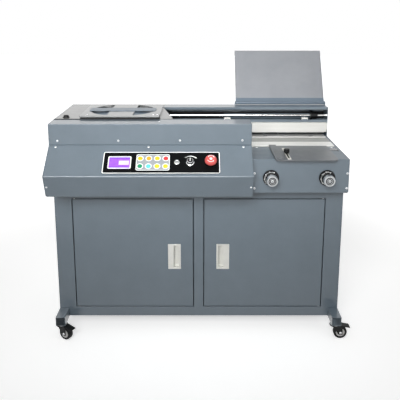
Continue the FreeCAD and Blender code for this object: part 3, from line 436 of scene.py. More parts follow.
def rectangle(x0, y0, x1, y1):
    return [(x1, y1), (x0, y1), (x0, y0), (x1, y0)]


def joined(name, pieces):
    # one mesh from several, keeping their materials
    shape = bmesh.new()
    materials = []
    for piece in pieces:
        part = piece.data
        start = len(shape.faces)
        shape.from_mesh(part)
        shape.faces.ensure_lookup_table()
        for face in shape.faces[start:]:
            material = part.materials[face.material_index] if part.materials else None
            if material not in materials:
                materials.append(material)
            face.material_index = materials.index(material)
    mesh = bpy.data.meshes.new(name)
    shape.to_mesh(mesh)
    shape.free()
    for material in materials:
        mesh.materials.append(material)
    for piece in pieces:
        bpy.data.objects.remove(piece)
    return linkMesh(name, mesh)


# Sheet metal with rounded folds
sheets = {
    "coat": ["foot_beams", "cabinet_front", "cabinet_wrap", "cabinet_floor", "head_base", "hood_end_left",
             "hood_end_right", "back_cover", "block_cover"],
    "doorEdge": 1.2, "nose": (-133, 631), "foot": (-106, 555), "seam": (-31, 713), "strip": (-31, 786),
    # slot gives the heights of the painted shade behind the rod; restShadeLine is the line below which the paper rest
    # is painted in shade
    "stripBack": (50, 786), "bed": (183, 112, 499, 350), "restShadeLine": 812, "slot": (728, 757), "bracket": (728, 445),
}
for node in sheets["coat"]:
    dressed(node, "coat", 0.9 if node in ("cabinet_front", "block_cover", "foot_beams") else 0.7)
for node in ("door_left", "door_right"):
    dressed(node, "coat", sheets["doorEdge"], segments=3)
dressed("console_cover", "coat", 0.6, folds=[sheets["nose"], sheets["foot"], sheets["seam"]], foldMm=2.6, segments=4)
dressed("hood_cover", "coat", 0.5, folds=[sheets["strip"], sheets["stripBack"], sheets["seam"]], foldMm=1.9,
        segments=4)
dressed("control_box", "coatPale", 1.2)
# the roof takes the warmer grey as a painted sheen on its top face
dressed("top_cover", "coatRoof", 0.7)
# the deck is bare galvanised steel round the nipping plates
bedLow, bedHigh = place(sheets["bed"][0], sheets["bed"][1], 0), place(sheets["bed"][2], sheets["bed"][3], 0)
dressed("deck", ["coatDeck", "bed"], 0.7, trim=painted(
    lambda at, normal: normal.z > 0.9 and bedLow.x < at.x < bedHigh.x and bedLow.y < at.y < bedHigh.y,
    (bedLow, (1, 0, 0)), (bedLow, (0, 1, 0)), (bedHigh, (1, 0, 0)), (bedHigh, (0, 1, 0))))
# a black band on the channel's back wall behind the rod: painted shade above and below the rod
rodShadeLow, rodShadeHigh = (place(0, 340, z) for z in sheets["slot"])
dressed("rear_beam", ["coat", "shadeBlack"], 0.7, trim=painted(
    lambda at, normal: normal.y < -0.9 and at.y > rodShadeLow.y and rodShadeLow.z < at.z < rodShadeHigh.z,
    (rodShadeLow, (0, 0, 1)), (rodShadeHigh, (0, 0, 1))))
# the carriage is ground steel below, painted above, and its right end is a black bearing housing
bracketZ, bracketX = place(0, 0, sheets["bracket"][0]).z, place(sheets["bracket"][1], 0, 0).x
dressed("clamp_carriage", ["jaw", "coat", "black"], 0.6, trim=painted(
    lambda at, normal: 0 if at.z < bracketZ else 2 if at.x > bracketX else 1,
    (Vector((0, 0, bracketZ)), (0, 0, 1)), (Vector((bracketX, 0, 0)), (1, 0, 0))))
# below restShadeLine the paper rest takes the darker blue-grey: painted shade at its foot, in the gap behind the beam
restShadeLine = place(0, 0, sheets["restShadeLine"])
dressed("paper_rest", ["coatRest", "coatBand"], 0.9, segments=3,
        trim=painted(lambda at, normal: at.z < restShadeLine.z, (restShadeLine, (0, 0, 1))))
print("sheet metal dressed")

# Plain machined and moulded pieces that keep their CAD shape, with broken edges
for node, finish, width in (
        ("caster_plates", "chrome", 0.4), ("guide_rod", "rod", 0.8), ("hinge_pins", "chrome", 0.4),
        ("front_jaw", "jaw", 0.8), ("nip_plate_front", "bright", 0.8),
        ("nip_plate_rear", "bright", 0.8), ("slide_pads", "nylon", 0.8), ("handle_left", "white", 1.0),
        ("handle_right", "white", 1.0), ("left_lid", "coatPale", 0.7), ("side_gauge", "stainless", 0.4),
        ("glue_tank", "cast", 1.2), ("milling_motor", "cast", 0.8), ("milling_disc", "stainless", 0.5),
        ("glue_roller", "cast", 0.6), ("feed_plate", "coatTable", 1.0), ("vent_dome", "coatBand", 0.6),
        ("gauge_knob", "black", 0.8)):
    dressed(node, finish, width)
print("machined pieces dressed")


# Small pieces that the CAD leaves out
onTop = Matrix.Translation(place(0, 0, 0))
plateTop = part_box("nip_plate_rear")[1].z / mm


def fitted(name, body, finish, outline, heights, edgeMm=0.0):
    return finishPiece(slab(name, outline, *heights, onTop, edgeMm), body, finish)


# black strips under the lid's front edge and up its right end: painted shade in the gap under the raised lid
lidShades = {"left": -420, "right": -138.3, "front": 52, "inset": 3, "wide": 0.9, "heights": (787, 793.4),
         "endLong": 26, "endHeights": (786.6, 797.6), "edge": 0.2}
lidShadeFront = lidShades["front"] - lidShades["wide"]
fitted("lid-gasket", "lid", "shadeBlack",
       rectangle(lidShades["left"] + lidShades["inset"], lidShadeFront, lidShades["right"], lidShades["front"]), lidShades["heights"],
       lidShades["edge"])
fitted("lid-end-seal", "lid", "shadeBlack",
       rectangle(lidShades["right"], lidShadeFront, lidShades["right"] + lidShades["wide"], lidShades["front"] + lidShades["endLong"]),
       lidShades["endHeights"], lidShades["edge"])
# a black strip along the roof's front edge behind the hood strip: painted shade under that edge
roofSeamShade = {"area": (-508, 48.8, -140, 50.8), "heights": (785.6, 787.9)}
fitted("roof-seam", "machine", "shadeBlack", rectangle(*roofSeamShade["area"]), roofSeamShade["heights"])
# the roof's knob is a lathed shape squeezed from front to back
roofKnob = {"at": (-474, 89, 786), "squeeze": 0.72}
knobAt = Matrix.Translation(place(*roofKnob["at"])) @ Matrix.Diagonal((1.0, roofKnob["squeeze"], 1.0, 1.0))
knob = lathed("roof-knob", [(0, -1), (13, -1), (13.4, 0.6), (12.6, 1.4), (9.6, 1.8), (9.4, 5.4), (8.6, 7.2),
                            (6.4, 8.1), (0, 8.5)], 48, knobAt, angle=50)
finishPiece(knob, "machine", "black")
window = {"at": (484, 68), "size": (28, 30, 4), "heights": (671, 673.4), "edge": 0.4}
fitted("deck-window", "machine", "acrylic", moved(roundedRect(*window["size"]), *window["at"]),
       window["heights"], window["edge"])
# a black disc for a small hole in the deck: painted shade inside the hole
holeShade = {"at": (497, 52), "radius": 3.6, "heights": (670.6, 671.25)}
fitted("deck-hole", "machine", "black", moved(circle(holeShade["radius"], 28), *holeShade["at"]),
       holeShade["heights"])
# black insets in the rear nipping plate's two slots: painted shade inside them
plateSlotShades = {"at": ((262, 281), (441, 281)), "size": (17, 5, 2.4), "heights": (plateTop - 0.4, plateTop + 0.12)}
for i, spot in enumerate(plateSlotShades["at"]):
    fitted(f"plate-slot-{i}", "rear_nip", "black", moved(roundedRect(*plateSlotShades["size"]), *spot),
           plateSlotShades["heights"])
glue = {"area": (-476, 194, -334, 346), "heights": (575, 612), "edge": 0.8}
fitted("tank-glue", "machine", "glue", rectangle(*glue["area"]), glue["heights"], glue["edge"])
# a black strip on the feed plate under the side gauge's slot: painted shade in the slot
gaugeSlotShade = {"at": (304, -10), "size": (6.4, 130, 3), "heights": (674.8, 675.22)}
fitted("gauge-slot", "machine", "black",
       moved(roundedRect(*gaugeSlotShade["size"]), *gaugeSlotShade["at"]), gaugeSlotShade["heights"])
print("small pieces made")

# Control panel
panel = {"left": -318, "right": 71.5, "low": 11.4, "high": 100, "thick": 2, "corner": 6, "frame": 3.2,
         "keypad": (-151.4, 56, 112, 66), "screen": (-262, 55, 77, 50), "print": 0.25, "membrane": 1}
controls = {"row": 55, "power": -71.6, "speed": -27.5, "stop": 41}
powerAt, speedAt, stopAt = (onSlope(controls[word], controls["row"], 0) for word in ("power", "speed", "stop"))
middleU, middleV = (panel["left"] + panel["right"]) / 2, (panel["low"] + panel["high"]) / 2
wide, tall = panel["right"] - panel["left"], panel["high"] - panel["low"]
ink = panel["thick"] + panel["print"]
padTop = panel["thick"] + panel["membrane"]
film = tinted(slab("film", roundedRect(wide, tall, panel["corner"]), 0.1, panel["thick"],
                   onSlope(middleU, middleV, 0), 0.3), "film")
border = tinted(band("border", roundedRect(wide - 0.8, tall - 0.8, panel["corner"] - 0.4),
                     roundedRect(wide - 2 * panel["frame"], tall - 2 * panel["frame"], panel["corner"] - 2.5),
                     panel["thick"] - 0.1, ink, onSlope(middleU, middleV, 0)), "ink")
ku, kv, kw, kt = panel["keypad"]
membrane = tinted(slab("membrane", roundedRect(kw, kt, 7), panel["thick"] - 0.2, padTop,
                       onSlope(ku, kv, 0), 0.4), "membrane")
rim = tinted(band("rim", roundedRect(kw - 0.4, kt - 0.4, 6.8), roundedRect(kw - 4.4, kt - 4.4, 5),
                  padTop - 0.2, padTop + panel["print"], onSlope(ku, kv, 0)), "ink")
panelParts = [film, border, membrane, rim]
keyFinishes = ["yellow", "amber", "yellow", "keyRed", "green", "cyan", "yellow", "yellow"]
keys = {"pitchU": 28.3, "pitchV": 31.7, "halo": (11.2, 8.3)}
for i, finish in enumerate(keyFinishes):
    row, column = divmod(i, 4)
    u, v = ku + (column - 1.5) * keys["pitchU"], kv + (0.5 - row) * keys["pitchV"]
    panelParts.append(tinted(band(f"halo{i}", *[circle(radius, 36) for radius in keys["halo"]], padTop - 0.2,
                                  padTop + panel["print"], onSlope(u, v, 0)), "ink"))
    node = f"key_{'top' if row == 0 else 'bottom'}_{column + 1}"
    cap = lathed(dashed(node) + "-cap",
                 [(0, -6), (5, -6), (5, 0), (7.9, 0.2), (7.9, 3.4), (7.6, 4.1), (6.6, 4.7), (4.4, 5.05), (2.0, 5.2),
                  (0, 5.25)], 40, onSlope(u, v, 0), angle=50)
    standIn(cap, node, finish)
# white scale that widens clockwise above the speed knob
scale = {"steps": 28, "start": 128, "sweep": -86, "inner": 25.6, "outer": 26.4, "widening": 3.4}
arcOutline = []
for i in range(scale["steps"] + 1):
    turn = math.radians(scale["start"] + scale["sweep"] * i / scale["steps"])
    radius = scale["outer"] + scale["widening"] * i / scale["steps"]
    arcOutline.append((radius * math.cos(turn), radius * math.sin(turn)))
arcOutline += reversed(arcLine(scale["inner"], scale["start"], scale["sweep"], scale["steps"]))
panelParts.append(tinted(slab("scale", arcOutline, panel["thick"] - 0.1, ink, speedAt), "ink"))
standIn(joined("panel-film-print", panelParts), "panel_film")

su, sv, sw, st = panel["screen"]
screenAt = onSlope(su, sv, 0)
screenParts = [
    tinted(slab("screenBase", roundedRect(sw, st, 5), 2, 3.2, screenAt, 0.3), "screen"),
    tinted(band("bezel", roundedRect(sw, st, 5), roundedRect(sw - 7, st - 7, 2), 2.6, 4.0, screenAt), "ink"),
    tinted(slab("topBar", roundedRect(sw - 8, 4.5, 0.6), 3.1, 3.35, onSlope(su, sv + st / 2 - 6.4, 0)), "screenDark"),
    tinted(slab("lowBar", roundedRect(sw - 8, 4.0, 0.6), 3.1, 3.35, onSlope(su, sv - st / 2 + 6.0, 0)), "screenDark"),
    tinted(slab("field", roundedRect(34, 17, 0.8), 3.1, 3.4, onSlope(su + 14.5, sv - 1, 0)), "screenPale"),
]
standIn(joined("lcd-window-glass", screenParts), "lcd_window")

# power button: chrome collar round a dished cap; speed knob: skirted metal knob with a white pointer
power = tinted(lathed("power", [(0, -6), (5, -6), (5, 2.2), (10, 2.2), (10.2, 3.4), (9.6, 5.6), (8.2, 7.4),
                                (7.2, 7.8), (6.6, 6.9), (5.8, 6.5), (0, 6.3)], 48, powerAt), "chrome")
powerCap = tinted(lathed("powerCap", [(0, 6.0), (5.6, 6.2), (5.5, 7.4), (4.8, 7.9), (0, 8.0)], 40,
                         powerAt), "cast")
standIn(joined("power-button-cap", [power, powerCap]), "power_button")

speedParts = [
    tinted(lathed("skirt", [(0, -6), (3, -6), (3, 2.4), (13.5, 2.4), (13.3, 4.5), (11.2, 6), (10.8, 14.5), (9.8, 16),
                            (8.9, 16), (8.6, 15.4), (0, 15.3)], 60, speedAt,
                  lambda row, i: -0.45 if row in (5, 6, 7) and i % 3 == 0 else 0), "chrome"),
    tinted(lathed("disc", [(0, 15.0), (8.4, 15.2), (8.4, 15.8), (0, 15.9)], 40, speedAt), "black"),
    tinted(slab("pointer", [(-1.3, -2.5), (1.3, -2.5), (1.3, 10.4), (-1.3, 10.4)], 15.6, 16.7,
                speedAt, 0.2), "ink"),
]
standIn(joined("speed-knob-dial", speedParts), "speed_knob")

stopParts = [
    tinted(lathed("stopHead", [(0, -6), (11, -6), (11, 12), (19.4, 12.1), (20, 12.8), (20, 17), (19.2, 20),
                               (17.4, 22.6), (14.6, 24.6), (11, 25.6), (8.4, 25.9), (7.9, 25.3), (7.4, 25.2),
                               (0, 25.3)], 64, stopAt, angle=50), "red"),
    tinted(lathed("stopInlay", [(0, 25.1), (4.6, 25.2), (4.4, 25.7), (0, 25.9)], 40, stopAt), "ink"),
]
# two curved arrows that show the turn which lets the head spring back
arrow = {"start": 25, "sweep": 100, "steps": 12, "outer": 13.2, "inner": 11.4, "barbs": (14.4, 10.0),
         "tip": (12.2, 145)}
for half in (0, 180):
    start, neck = half + arrow["start"], math.radians(half + arrow["start"] + arrow["sweep"])
    tipRadius, tip = arrow["tip"][0], math.radians(half + arrow["tip"][1])
    barbs = [(radius * math.cos(neck), radius * math.sin(neck)) for radius in arrow["barbs"]]
    outline = arcLine(arrow["outer"], start, arrow["sweep"], arrow["steps"])
    outline += [barbs[0], (tipRadius * math.cos(tip), tipRadius * math.sin(tip)), barbs[1]]
    outline += reversed(arcLine(arrow["inner"], start, arrow["sweep"], arrow["steps"]))
    stopParts.append(tinted(slab(f"arrow{half}", outline, 24.4, 25.75, stopAt), "ink"))
standIn(joined("stop-button-head", stopParts), "stop_button")
print("control panel made")

# Dial knobs: black graduated collar, chrome grip with turned rings
dials = {"xs": {"left": 245, "right": 435}, "y": -64, "z": 607, "ticks": 30, "start": -25, "sweep": 230, "steps": 40,
         "print": (9.9, 10.2), "arc": (21.4, 18.9), "line": 0.1,
         "longEvery": 5, "tickFrom": 20.6, "longTick": (25.0, 1.0), "shortTick": (23.4, 0.55)}


def dialKnob(word, x):
    node = "dial_" + word
    at = facing(x, dials["y"], dials["z"], (0, -1, 0))
    collar = tinted(lathed("collar", [(0, -30), (5, -30), (5, 0.4), (27.4, 0.4), (28, 1.4), (27.2, 7), (25.6, 9.6),
                                      (24.8, 10), (15.4, 10), (15.2, 26), (16, 27), (0, 27)], 72, at,
                           angle=40), "black")
    grip = tinted(lathed("grip", [(0, 26), (17, 26), (19.4, 27.4), (19.4, 41.0), (18.4, 43.4), (17, 44.6),
                                  (14, 45), (13.2, 44.4), (12.8, 43.2), (5.4, 43.2), (5.0, 44.5), (3.8, 45),
                                  (0, 45)], 96, at,
                         lambda row, i: -0.5 if row in (2, 3) and i % 4 in (0, 1) else 0, 30), "satin")
    ring = joined("rings", [
        tinted(lathed("ringInset", [(5.6, 43.0), (12.7, 43.0), (12.5, 43.8), (5.8, 43.8), (5.6, 43.0)], 64, at),
               "black"),
        tinted(lathed("ringPins", [(8.2, 43.6), (9.9, 43.6), (9.8, 44.3), (8.3, 44.3), (8.2, 43.6)], 64, at),
               "satin"),
        tinted(lathed("ringHub", [(0, 44.6), (1.4, 44.7), (1.3, 45.2), (0, 45.25)], 40, at), "black")])
    marks = []
    for i in range(dials["ticks"]):
        turn = math.radians(dials["start"] + dials["sweep"] * i / (dials["ticks"] - 1))
        outer, side = dials["shortTick"] if i % dials["longEvery"] else dials["longTick"]
        inner = dials["tickFrom"]
        along, across = Vector((math.cos(turn), math.sin(turn))), Vector((-math.sin(turn), math.cos(turn)))
        corners = [along * inner - across * side, along * outer - across * side,
                   along * outer + across * side, along * inner + across * side]
        marks.append(tinted(slab(f"mark{i}", [tuple(c) for c in corners], *dials["print"], at), "ink"))
    # a fine white line round the graduated arc
    (wide, narrow), line, end = dials["arc"], dials["line"], dials["start"] + dials["sweep"]
    rims = [arcLine(outer, dials["start"], dials["sweep"], dials["steps"])
            + arcLine(inner, end, -dials["sweep"], dials["steps"])
            for outer, inner in ((wide, narrow), (wide - line, narrow + line))]
    arcRing = tinted(band("arcRing", *rims, *dials["print"], at), "ink")
    whole = joined(dashed(node) + "-knob", [collar, grip, ring, arcRing] + marks)
    standIn(whole, node)


for word, x in dials["xs"].items():
    dialKnob(word, x)
print("dials made")

# Casters: tyre and hub, stamped fork with a ribbed brake pedal
casters = {"front_left": (-493, -47, -30), "front_right": (493, -47, 0), "rear_left": (-493, 392, 180),
           "rear_right": (493, 392, 140)}
wheel = {"trail": 18, "radius": 24, "boltOut": 13.4}
pedal = {"start": 18, "long": 34, "fall": 6, "rise": 3, "crown": 4, "ribs": (26, 33, 40, 47),
         "ribSize": (2.2, 23, 1.0), "ribHeights": (-0.6, 0.9)}


def casterFrame(corner):
    # x back along the trail, z up, on the floor under the swivel
    x, y, turn = casters[corner]
    return Matrix.Translation(place(x, y, 0)) @ Matrix.Rotation(math.radians(turn), 4, "Z")


def casterWheel(corner):
    wheelAt = casterFrame(corner) @ Matrix.Translation(Vector((wheel["trail"], 0, wheel["radius"])) * mm) \
        @ Matrix.Rotation(math.radians(90), 4, "X")
    tyre = tinted(lathed("tyre", [(15.5, -9.2), (16.5, -10), (21.5, -10), (23.2, -9.2), (24, -7.4), (24, 7.4),
                                  (23.2, 9.2), (21.5, 10), (16.5, 10), (15.5, 9.2), (15.5, -9.2)], 64, wheelAt),
                  "rubber")
    hub = tinted(lathed("hub", [(3.6, -9.4), (6, -9.6), (6.4, -8), (12, -8), (13, -9.4), (15.6, -9.4), (15.6, 9.4),
                                (13, 9.4), (12, 8), (6.4, 8), (6, 9.6), (3.6, 9.4), (3.6, -9.4)], 56, wheelAt), "hub")
    node = "caster_wheel_" + corner
    standIn(joined("wheel-" + dashed(corner), [tyre, hub]), node)


for corner in casters:
    casterWheel(corner)
    dressed("caster_fork_" + corner, "black", 0.8, segments=3)
print("casters made")

# Screws: one head shape, spread by geometry nodes over marked spots
screws = {"block": 3.8, "hood": 3.6, "side": 3.2, "lid": 3.0, "strip": 2.6, "pad": 2.4, "jaw": 2.2, "axle": 4.2,
          "turn": 3.1}
# unit shapes are drawn so many times larger, because a spot's size counts in mm
perUnit = 1000


def headShape():
    # a pan head of radius 1; its cross slots are a flat cross that carries a mark, and the mark paints it black:
    # painted shade for the slots' depth
    outline = [(0, 0), (1.0, 0), (1.0, 0.12), (0.94, 0.3), (0.78, 0.45), (0.5, 0.54), (0.2, 0.57), (0, 0.57)]
    head = lathed("screwHead", [(r * perUnit, z * perUnit) for r, z in outline], 20, None, angle=60)
    plainFaces = len(head.data.polygons)
    cross = [slab("slot", [(s * long * perUnit, t * wide * perUnit) for s, t in ((-1, -1), (1, -1), (1, 1), (-1, 1))],
                  0.44 * perUnit, 0.585 * perUnit) for long, wide in ((0.52, 0.13), (0.13, 0.52))]
    whole = joined("screwShape", [head] + cross)
    mark = whole.data.attributes.new("slotFace", "BOOLEAN", "FACE")
    for i in range(plainFaces, len(whole.data.polygons)):
        mark.data[i].value = True
    return whole


def spreadTree(name, unit, finish, marked):
    # instances of one unit over a point cloud, turned by "way" and scaled by "unitSize", made real at the end
    tree = bpy.data.node_groups.new(name, "GeometryNodeTree")
    tree.interface.new_socket("Geometry", in_out="INPUT", socket_type="NodeSocketGeometry")
    socket = tree.interface.new_socket("Unit Scale", in_out="INPUT", socket_type="NodeSocketFloat")
    tree.interface.new_socket("Geometry", in_out="OUTPUT", socket_type="NodeSocketGeometry")
    start = addNode(tree, "NodeGroupInput")
    wayRead = addNode(tree, "GeometryNodeInputNamedAttribute", {"data_type": "FLOAT_VECTOR", "Name": "way"})
    spinRead = addNode(tree, "GeometryNodeInputNamedAttribute", {"data_type": "FLOAT", "Name": "spin"})
    sizeRead = addNode(tree, "GeometryNodeInputNamedAttribute", {"data_type": "FLOAT", "Name": "unitSize"})
    align = addNode(tree, "FunctionNodeAlignRotationToVector", {"axis": "Z"}, {"Vector": (wayRead, "Attribute")})
    jitter = addNode(tree, "FunctionNodeRandomValue", {"data_type": "FLOAT", "Seed": 7})
    jitter.inputs[2].default_value, jitter.inputs[3].default_value = -0.5, 0.5
    wobble = addNode(tree, "ShaderNodeMath", {"operation": "MULTIPLY"}, {0: (spinRead, "Attribute"), 1: (jitter, 1)})
    axis = addNode(tree, "FunctionNodeAxisAngleToRotation", {"Axis": (0, 0, 1)}, {"Angle": (wobble, 0)})
    turned = addNode(tree, "FunctionNodeRotateRotation", {"rotation_space": "LOCAL"},
                     {"Rotation": (align, 0), "Rotate By": (axis, 0)})
    sized = addNode(tree, "ShaderNodeMath", {"operation": "MULTIPLY"}, {0: (sizeRead, "Attribute"), 1: (start, 1)})
    shape = addNode(tree, "GeometryNodeObjectInfo")
    shape.inputs["Object"].default_value = unit
    spread = addNode(tree, "GeometryNodeInstanceOnPoints", {}, {"Points": (start, 0), "Instance": (shape, "Geometry"),
                                                                 "Rotation": (turned, 0), "Scale": (sized, 0)})
    real = addNode(tree, "GeometryNodeRealizeInstances", {}, {"Geometry": (spread, 0)})
    last = addNode(tree, "GeometryNodeSetMaterial", {}, {"Geometry": (real, 0)})
    last.inputs["Material"].default_value = finishes[finish]
    if marked:
        read = addNode(tree, "GeometryNodeInputNamedAttribute", {"data_type": "BOOLEAN", "Name": marked[0]})
        last = addNode(tree, "GeometryNodeSetMaterial", {}, {"Geometry": (last, 0), "Selection": (read, "Attribute")})
        last.inputs["Material"].default_value = finishes[marked[1]]
    addNode(tree, "NodeGroupOutput", {}, {0: (last, 0)})
    return tree, socket.identifier


def spreadField(name, body, unit, finish, spots, marked=None, spin=0.0, angle=60):
    # spots are (place, way, size in mm); the result is one plain mesh that rides the body
    mesh = bpy.data.meshes.new(name)
    mesh.from_pydata([spot[0] for spot in spots], [], [])
    for word, kind in (("way", "FLOAT_VECTOR"), ("unitSize", "FLOAT"), ("spin", "FLOAT")):
        mesh.attributes.new(word, kind, "POINT")
    for i, spot in enumerate(spots):
        mesh.attributes["way"].data[i].vector = spot[1]
        mesh.attributes["unitSize"].data[i].value = spot[2] * mm
        mesh.attributes["spin"].data[i].value = spin
    piece = linkMesh(name, mesh)
    tree, scaleInput = spreadTree(name + "-tree", unit, finish, marked)
    modifier = piece.modifiers.new("spread", "NODES")
    modifier.node_group = tree
    modifier[scaleInput] = 1.0
    flatten(piece)
    bpy.data.node_groups.remove(tree)
    shaded(piece, angle)
    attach(piece, body)
    return piece


def screwField(name, body, spots):
    head = headShape()
    piece = spreadField(name, body, head, "zinc", spots, ("slotFace", "black"), screws["turn"])
    bpy.data.objects.remove(head)
    return piece


up, front, right, left, back = (0, 0, 1), (0, -1, 0), (1, 0, 0), (-1, 0, 0), (0, 1, 0)
slopeOut = tuple(Matrix.Rotation(slopeTurn, 3, "X") @ Vector((0, 0, 1)))
lowerOut = Vector((0, -76, -27)).normalized()
# the order of these rows decides how each slot is turned
casing = (
    ("hood", front, [place(x, -31, z) for x, z in ((-480, 727), (-273, 727.6), (-63, 728.4), (149, 729))]),
    ("hood", slopeOut, [onSlope(u, 122, 0).translation for u in (-485, -169.5, 152.5)]),
    ("side", lowerOut, [place(x, -118.4, 590) for x in (-502, 173.5)]),
    ("strip", up, [place(-135.5, 12.8, 786)]),
    ("block", front, [place(x, -64, z) for x in (189.4, 503.5) for z in (622, 569.5)]),
    ("hood", up, [place(211.6, 101.4, 671), place(484, 100, 671)]),
    ("side", up, [place(320, 338, 671)]),
    ("side", left, [place(-510, y, 600) for y in (80, 200, 320)]),
    ("side", right, [place(510, y, 575) for y in (-20, 60, 160, 260, 350)]),
    ("side", back, [place(x, 369, 570) for x in (-480, -240, 0, 240, 480)]),
    ("side", back, [place(x, 369, z) for x, z in ((-480, 770), (-160, 770), (-360, 690), (0, 735), (360, 735))]),
)
screwField("casing-screws", "machine", [(at, way, screws[word]) for word, way, places in casing for at in places])
screwField("lid-screws", "lid", [(place(x, y, 798), up, screws["lid"])
                                 for x, y in ((-397, 78), (-161, 74), (-147, 74))])
screwField("carriage-screws", "carriage", [(place(x, 292, 722), front, screws["jaw"]) for x in (113, 418)]
           + [(place(x, 303, 745.2), up, screws["pad"]) for x in (113, 418)])
screwField("nip-screws", "rear_nip", [(place(x, 312, plateTop), up, screws["side"]) for x in (261, 316)])
for corner in casters:
    at = casterFrame(corner)
    screwField("axle-bolts-" + dashed(corner), bodyOf["caster_fork_" + corner],
               [(at @ (Vector((wheel["trail"], side * wheel["boltOut"], wheel["radius"])) * mm),
                 tuple(at.to_3x3() @ Vector((0, side, 0))), screws["axle"]) for side in (-1, 1)])
print("screws set")

# Louvre hoods over the slots of the back, spread in the same way
louvres = {"xs": (-255, 255), "y": 369, "low": 328, "pitch": 16, "rows": 9, "half": 70}


def louvreShape():
    # one profile, scaled down towards both ends of the hood
    profile = [(-1.0, 9), (0.2, 9), (1.8, 8), (3.4, 5.2), (4.4, 1.2), (3.4, 1.2), (2.5, 4.8), (1.0, 7.0), (-1.0, 7.8)]
    stations = [(-1, 0.1), (-0.975, 0.62), (-0.93, 0.94), (-0.88, 1), (0.88, 1), (0.93, 0.94), (0.975, 0.62),
                (1, 0.1)]
    points = [(s * louvres["half"] * perUnit, (y * k if y > 0 else y) * perUnit, z * perUnit)
              for s, k in stations for y, z in profile]
    ring, last = len(profile), len(profile) * (len(stations) - 1)
    faces = [list(range(ring)), list(range(last, last + ring))]
    faces += [[i + j, i + (j + 1) % ring, i + ring + (j + 1) % ring, i + ring + j]
              for i in range(0, last, ring) for j in range(ring)]
    return solid("louvreShape", points, faces)


hood = louvreShape()
spreadField("louvre-hoods", "machine", hood, "coat",
            [(place(x, louvres["y"], louvres["low"] + louvres["pitch"] * row), up, 1)
             for x in louvres["xs"] for row in range(louvres["rows"])], angle=50)
bpy.data.objects.remove(hood)
# grip ribs across each brake pedal, which slopes down from the fork's crown
for corner in casters:
    node, at = "caster_fork_" + corner, casterFrame(corner)
    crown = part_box(node)[1].z / mm - pedal["crown"]
    rib = slab("ribShape", [(x * perUnit, y * perUnit) for x, y in roundedRect(*pedal["ribSize"])],
               *[z * perUnit for z in pedal["ribHeights"]], at.to_3x3().to_4x4())
    heights = [crown + pedal["rise"] - pedal["fall"] * (x - pedal["start"]) / pedal["long"] for x in pedal["ribs"]]
    spots = [(at @ (Vector((x, 0, z)) * mm), up, 1) for x, z in zip(pedal["ribs"], heights)]
    spreadField("pedal-ribs-" + dashed(corner), bodyOf[node], rib, "black", spots)
    bpy.data.objects.remove(rib)
print("louvres and ribs made")

# Floor, backdrop and light
stage = {"size": 24, "ambient": 0.235, "near": 0.9, "far": 2.4, "nearLift": 0.55, "paper": ("#f2f2f1", "#f6f6f5"),
         "dull": "#6c6c6b"}


def seenRays(tree):
    # 1 for rays that look at a surface from the camera, off a mirror or through glass; 0 for lighting rays
    rays = addNode(tree, "ShaderNodeLightPath")
    seen = addNode(tree, "ShaderNodeMath", {"operation": "MAXIMUM"},
                   {0: (rays, "Is Camera Ray"), 1: (rays, "Is Glossy Ray")})
    return addNode(tree, "ShaderNodeMath", {"operation": "MAXIMUM"}, {0: (seen, 0), 1: (rays, "Is Transmission Ray")})


mesh = bpy.data.meshes.new("studioFloor")
reach = stage["size"] / 2
mesh.from_pydata([(-reach, -reach, 0), (reach, -reach, 0), (reach, reach, 0), (-reach, reach, 0)], [],
                 [(0, 1, 2, 3)])
floor = linkMesh("studio-floor", mesh)
floorMaterial, tree, shader = newMaterial("whitePaperSweep", {"Roughness": 0.9, "Specular IOR Level": 0.1})
coords = objectCoords(tree)
mottled(tree, shader, coords, *stage["paper"], 300)
# the paper turns to the backdrop's even white away from the object, and stays duller for lighting rays
distance = addNode(tree, "ShaderNodeVectorMath", {"operation": "LENGTH"}, {0: (coords, 0)})
lift = addNode(tree, "ShaderNodeMapRange", {"interpolation_type": "SMOOTHSTEP", "From Min": stage["near"],
                                            "From Max": stage["far"], "To Min": stage["nearLift"], "To Max": 1.0},
               {"Value": (distance, "Value")})
glow = addNode(tree, "ShaderNodeEmission", {"Color": (1, 1, 1, 1)}, {"Strength": (lift, 0)})
paper = addNode(tree, "ShaderNodeAddShader", {}, {0: (shader, 0), 1: (glow, 0)})
dull = addNode(tree, "ShaderNodeBsdfDiffuse", {"Color": paint(stage["dull"])})
mix = addNode(tree, "ShaderNodeMixShader", {}, {0: (seenRays(tree), 0), 1: (dull, 0), 2: (paper, 0)})
tree.links.new(mix.outputs[0], tree.nodes["Material Output"].inputs["Surface"])
floor.data.materials.append(floorMaterial)

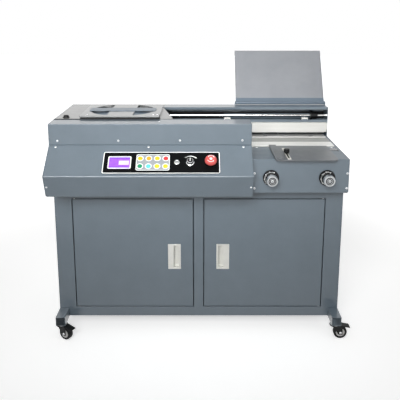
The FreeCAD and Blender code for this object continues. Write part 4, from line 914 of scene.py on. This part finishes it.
world = bpy.data.worlds.new("studioWorld")
bpy.context.scene.world = world
world.use_nodes = True
tree = world.node_tree
soft = tree.nodes["Background"]
soft.inputs["Color"].default_value = (1, 1, 1, 1)
soft.inputs["Strength"].default_value = stage["ambient"]
white = addNode(tree, "ShaderNodeBackground", {"Color": (1, 1, 1, 1), "Strength": 1.0})
mix = addNode(tree, "ShaderNodeMixShader", {}, {0: (seenRays(tree), 0), 1: (soft, 0), 2: (white, 0)})
tree.links.new(mix.outputs[0], tree.nodes["World Output"].inputs["Surface"])


def softbox(name, where, target, size, watts, spread, mirrored=True):
    lamp = bpy.data.lights.new(name, "AREA")
    lamp.spread = math.radians(spread)
    lamp.shape = "RECTANGLE"
    lamp.size, lamp.size_y, lamp.energy = size[0], size[1], watts
    piece = bpy.data.objects.new(name, lamp)
    piece.location = where
    piece.rotation_mode = "QUATERNION"
    piece.rotation_quaternion = (Vector(target) - Vector(where)).to_track_quat("-Z", "Y")
    bpy.context.scene.collection.objects.link(piece)
    piece.visible_camera, piece.visible_glossy = False, mirrored


softbox("key-softbox", (-0.35, -1.9, 1.6), (-0.08, -0.1, 0.92), size=(1.4, 1.0), watts=9.3, spread=62)
softbox("fill-softbox", (1.7, -2.0, 1.6), (0.2, -0.1, 0.9), size=(1.2, 1.2), watts=0.9, spread=80)
softbox("top-softbox", (0.1, -0.6, 2.9), (0.1, 0.1, 0.7), size=(2.6, 1.6), watts=3.3, spread=120, mirrored=False)

camera = {"place": (0.005, -2.110, 1.174), "pitch": 11.93, "lens": 51.75, "sensor": 36, "shift": -0.18}
lens = bpy.data.cameras.new("photoCamera")
lens.lens, lens.sensor_width, lens.shift_y = camera["lens"], camera["sensor"], camera["shift"]
lens.clip_start, lens.clip_end = 0.05, 60
eye = bpy.data.objects.new("photo-camera", lens)
eye.location = camera["place"]
eye.rotation_euler = (math.radians(90 - camera["pitch"]), 0, 0)
bpy.context.scene.collection.objects.link(eye)
bpy.context.scene.camera = eye
bpy.context.scene.view_settings.view_transform = "Standard"
print("stage set")
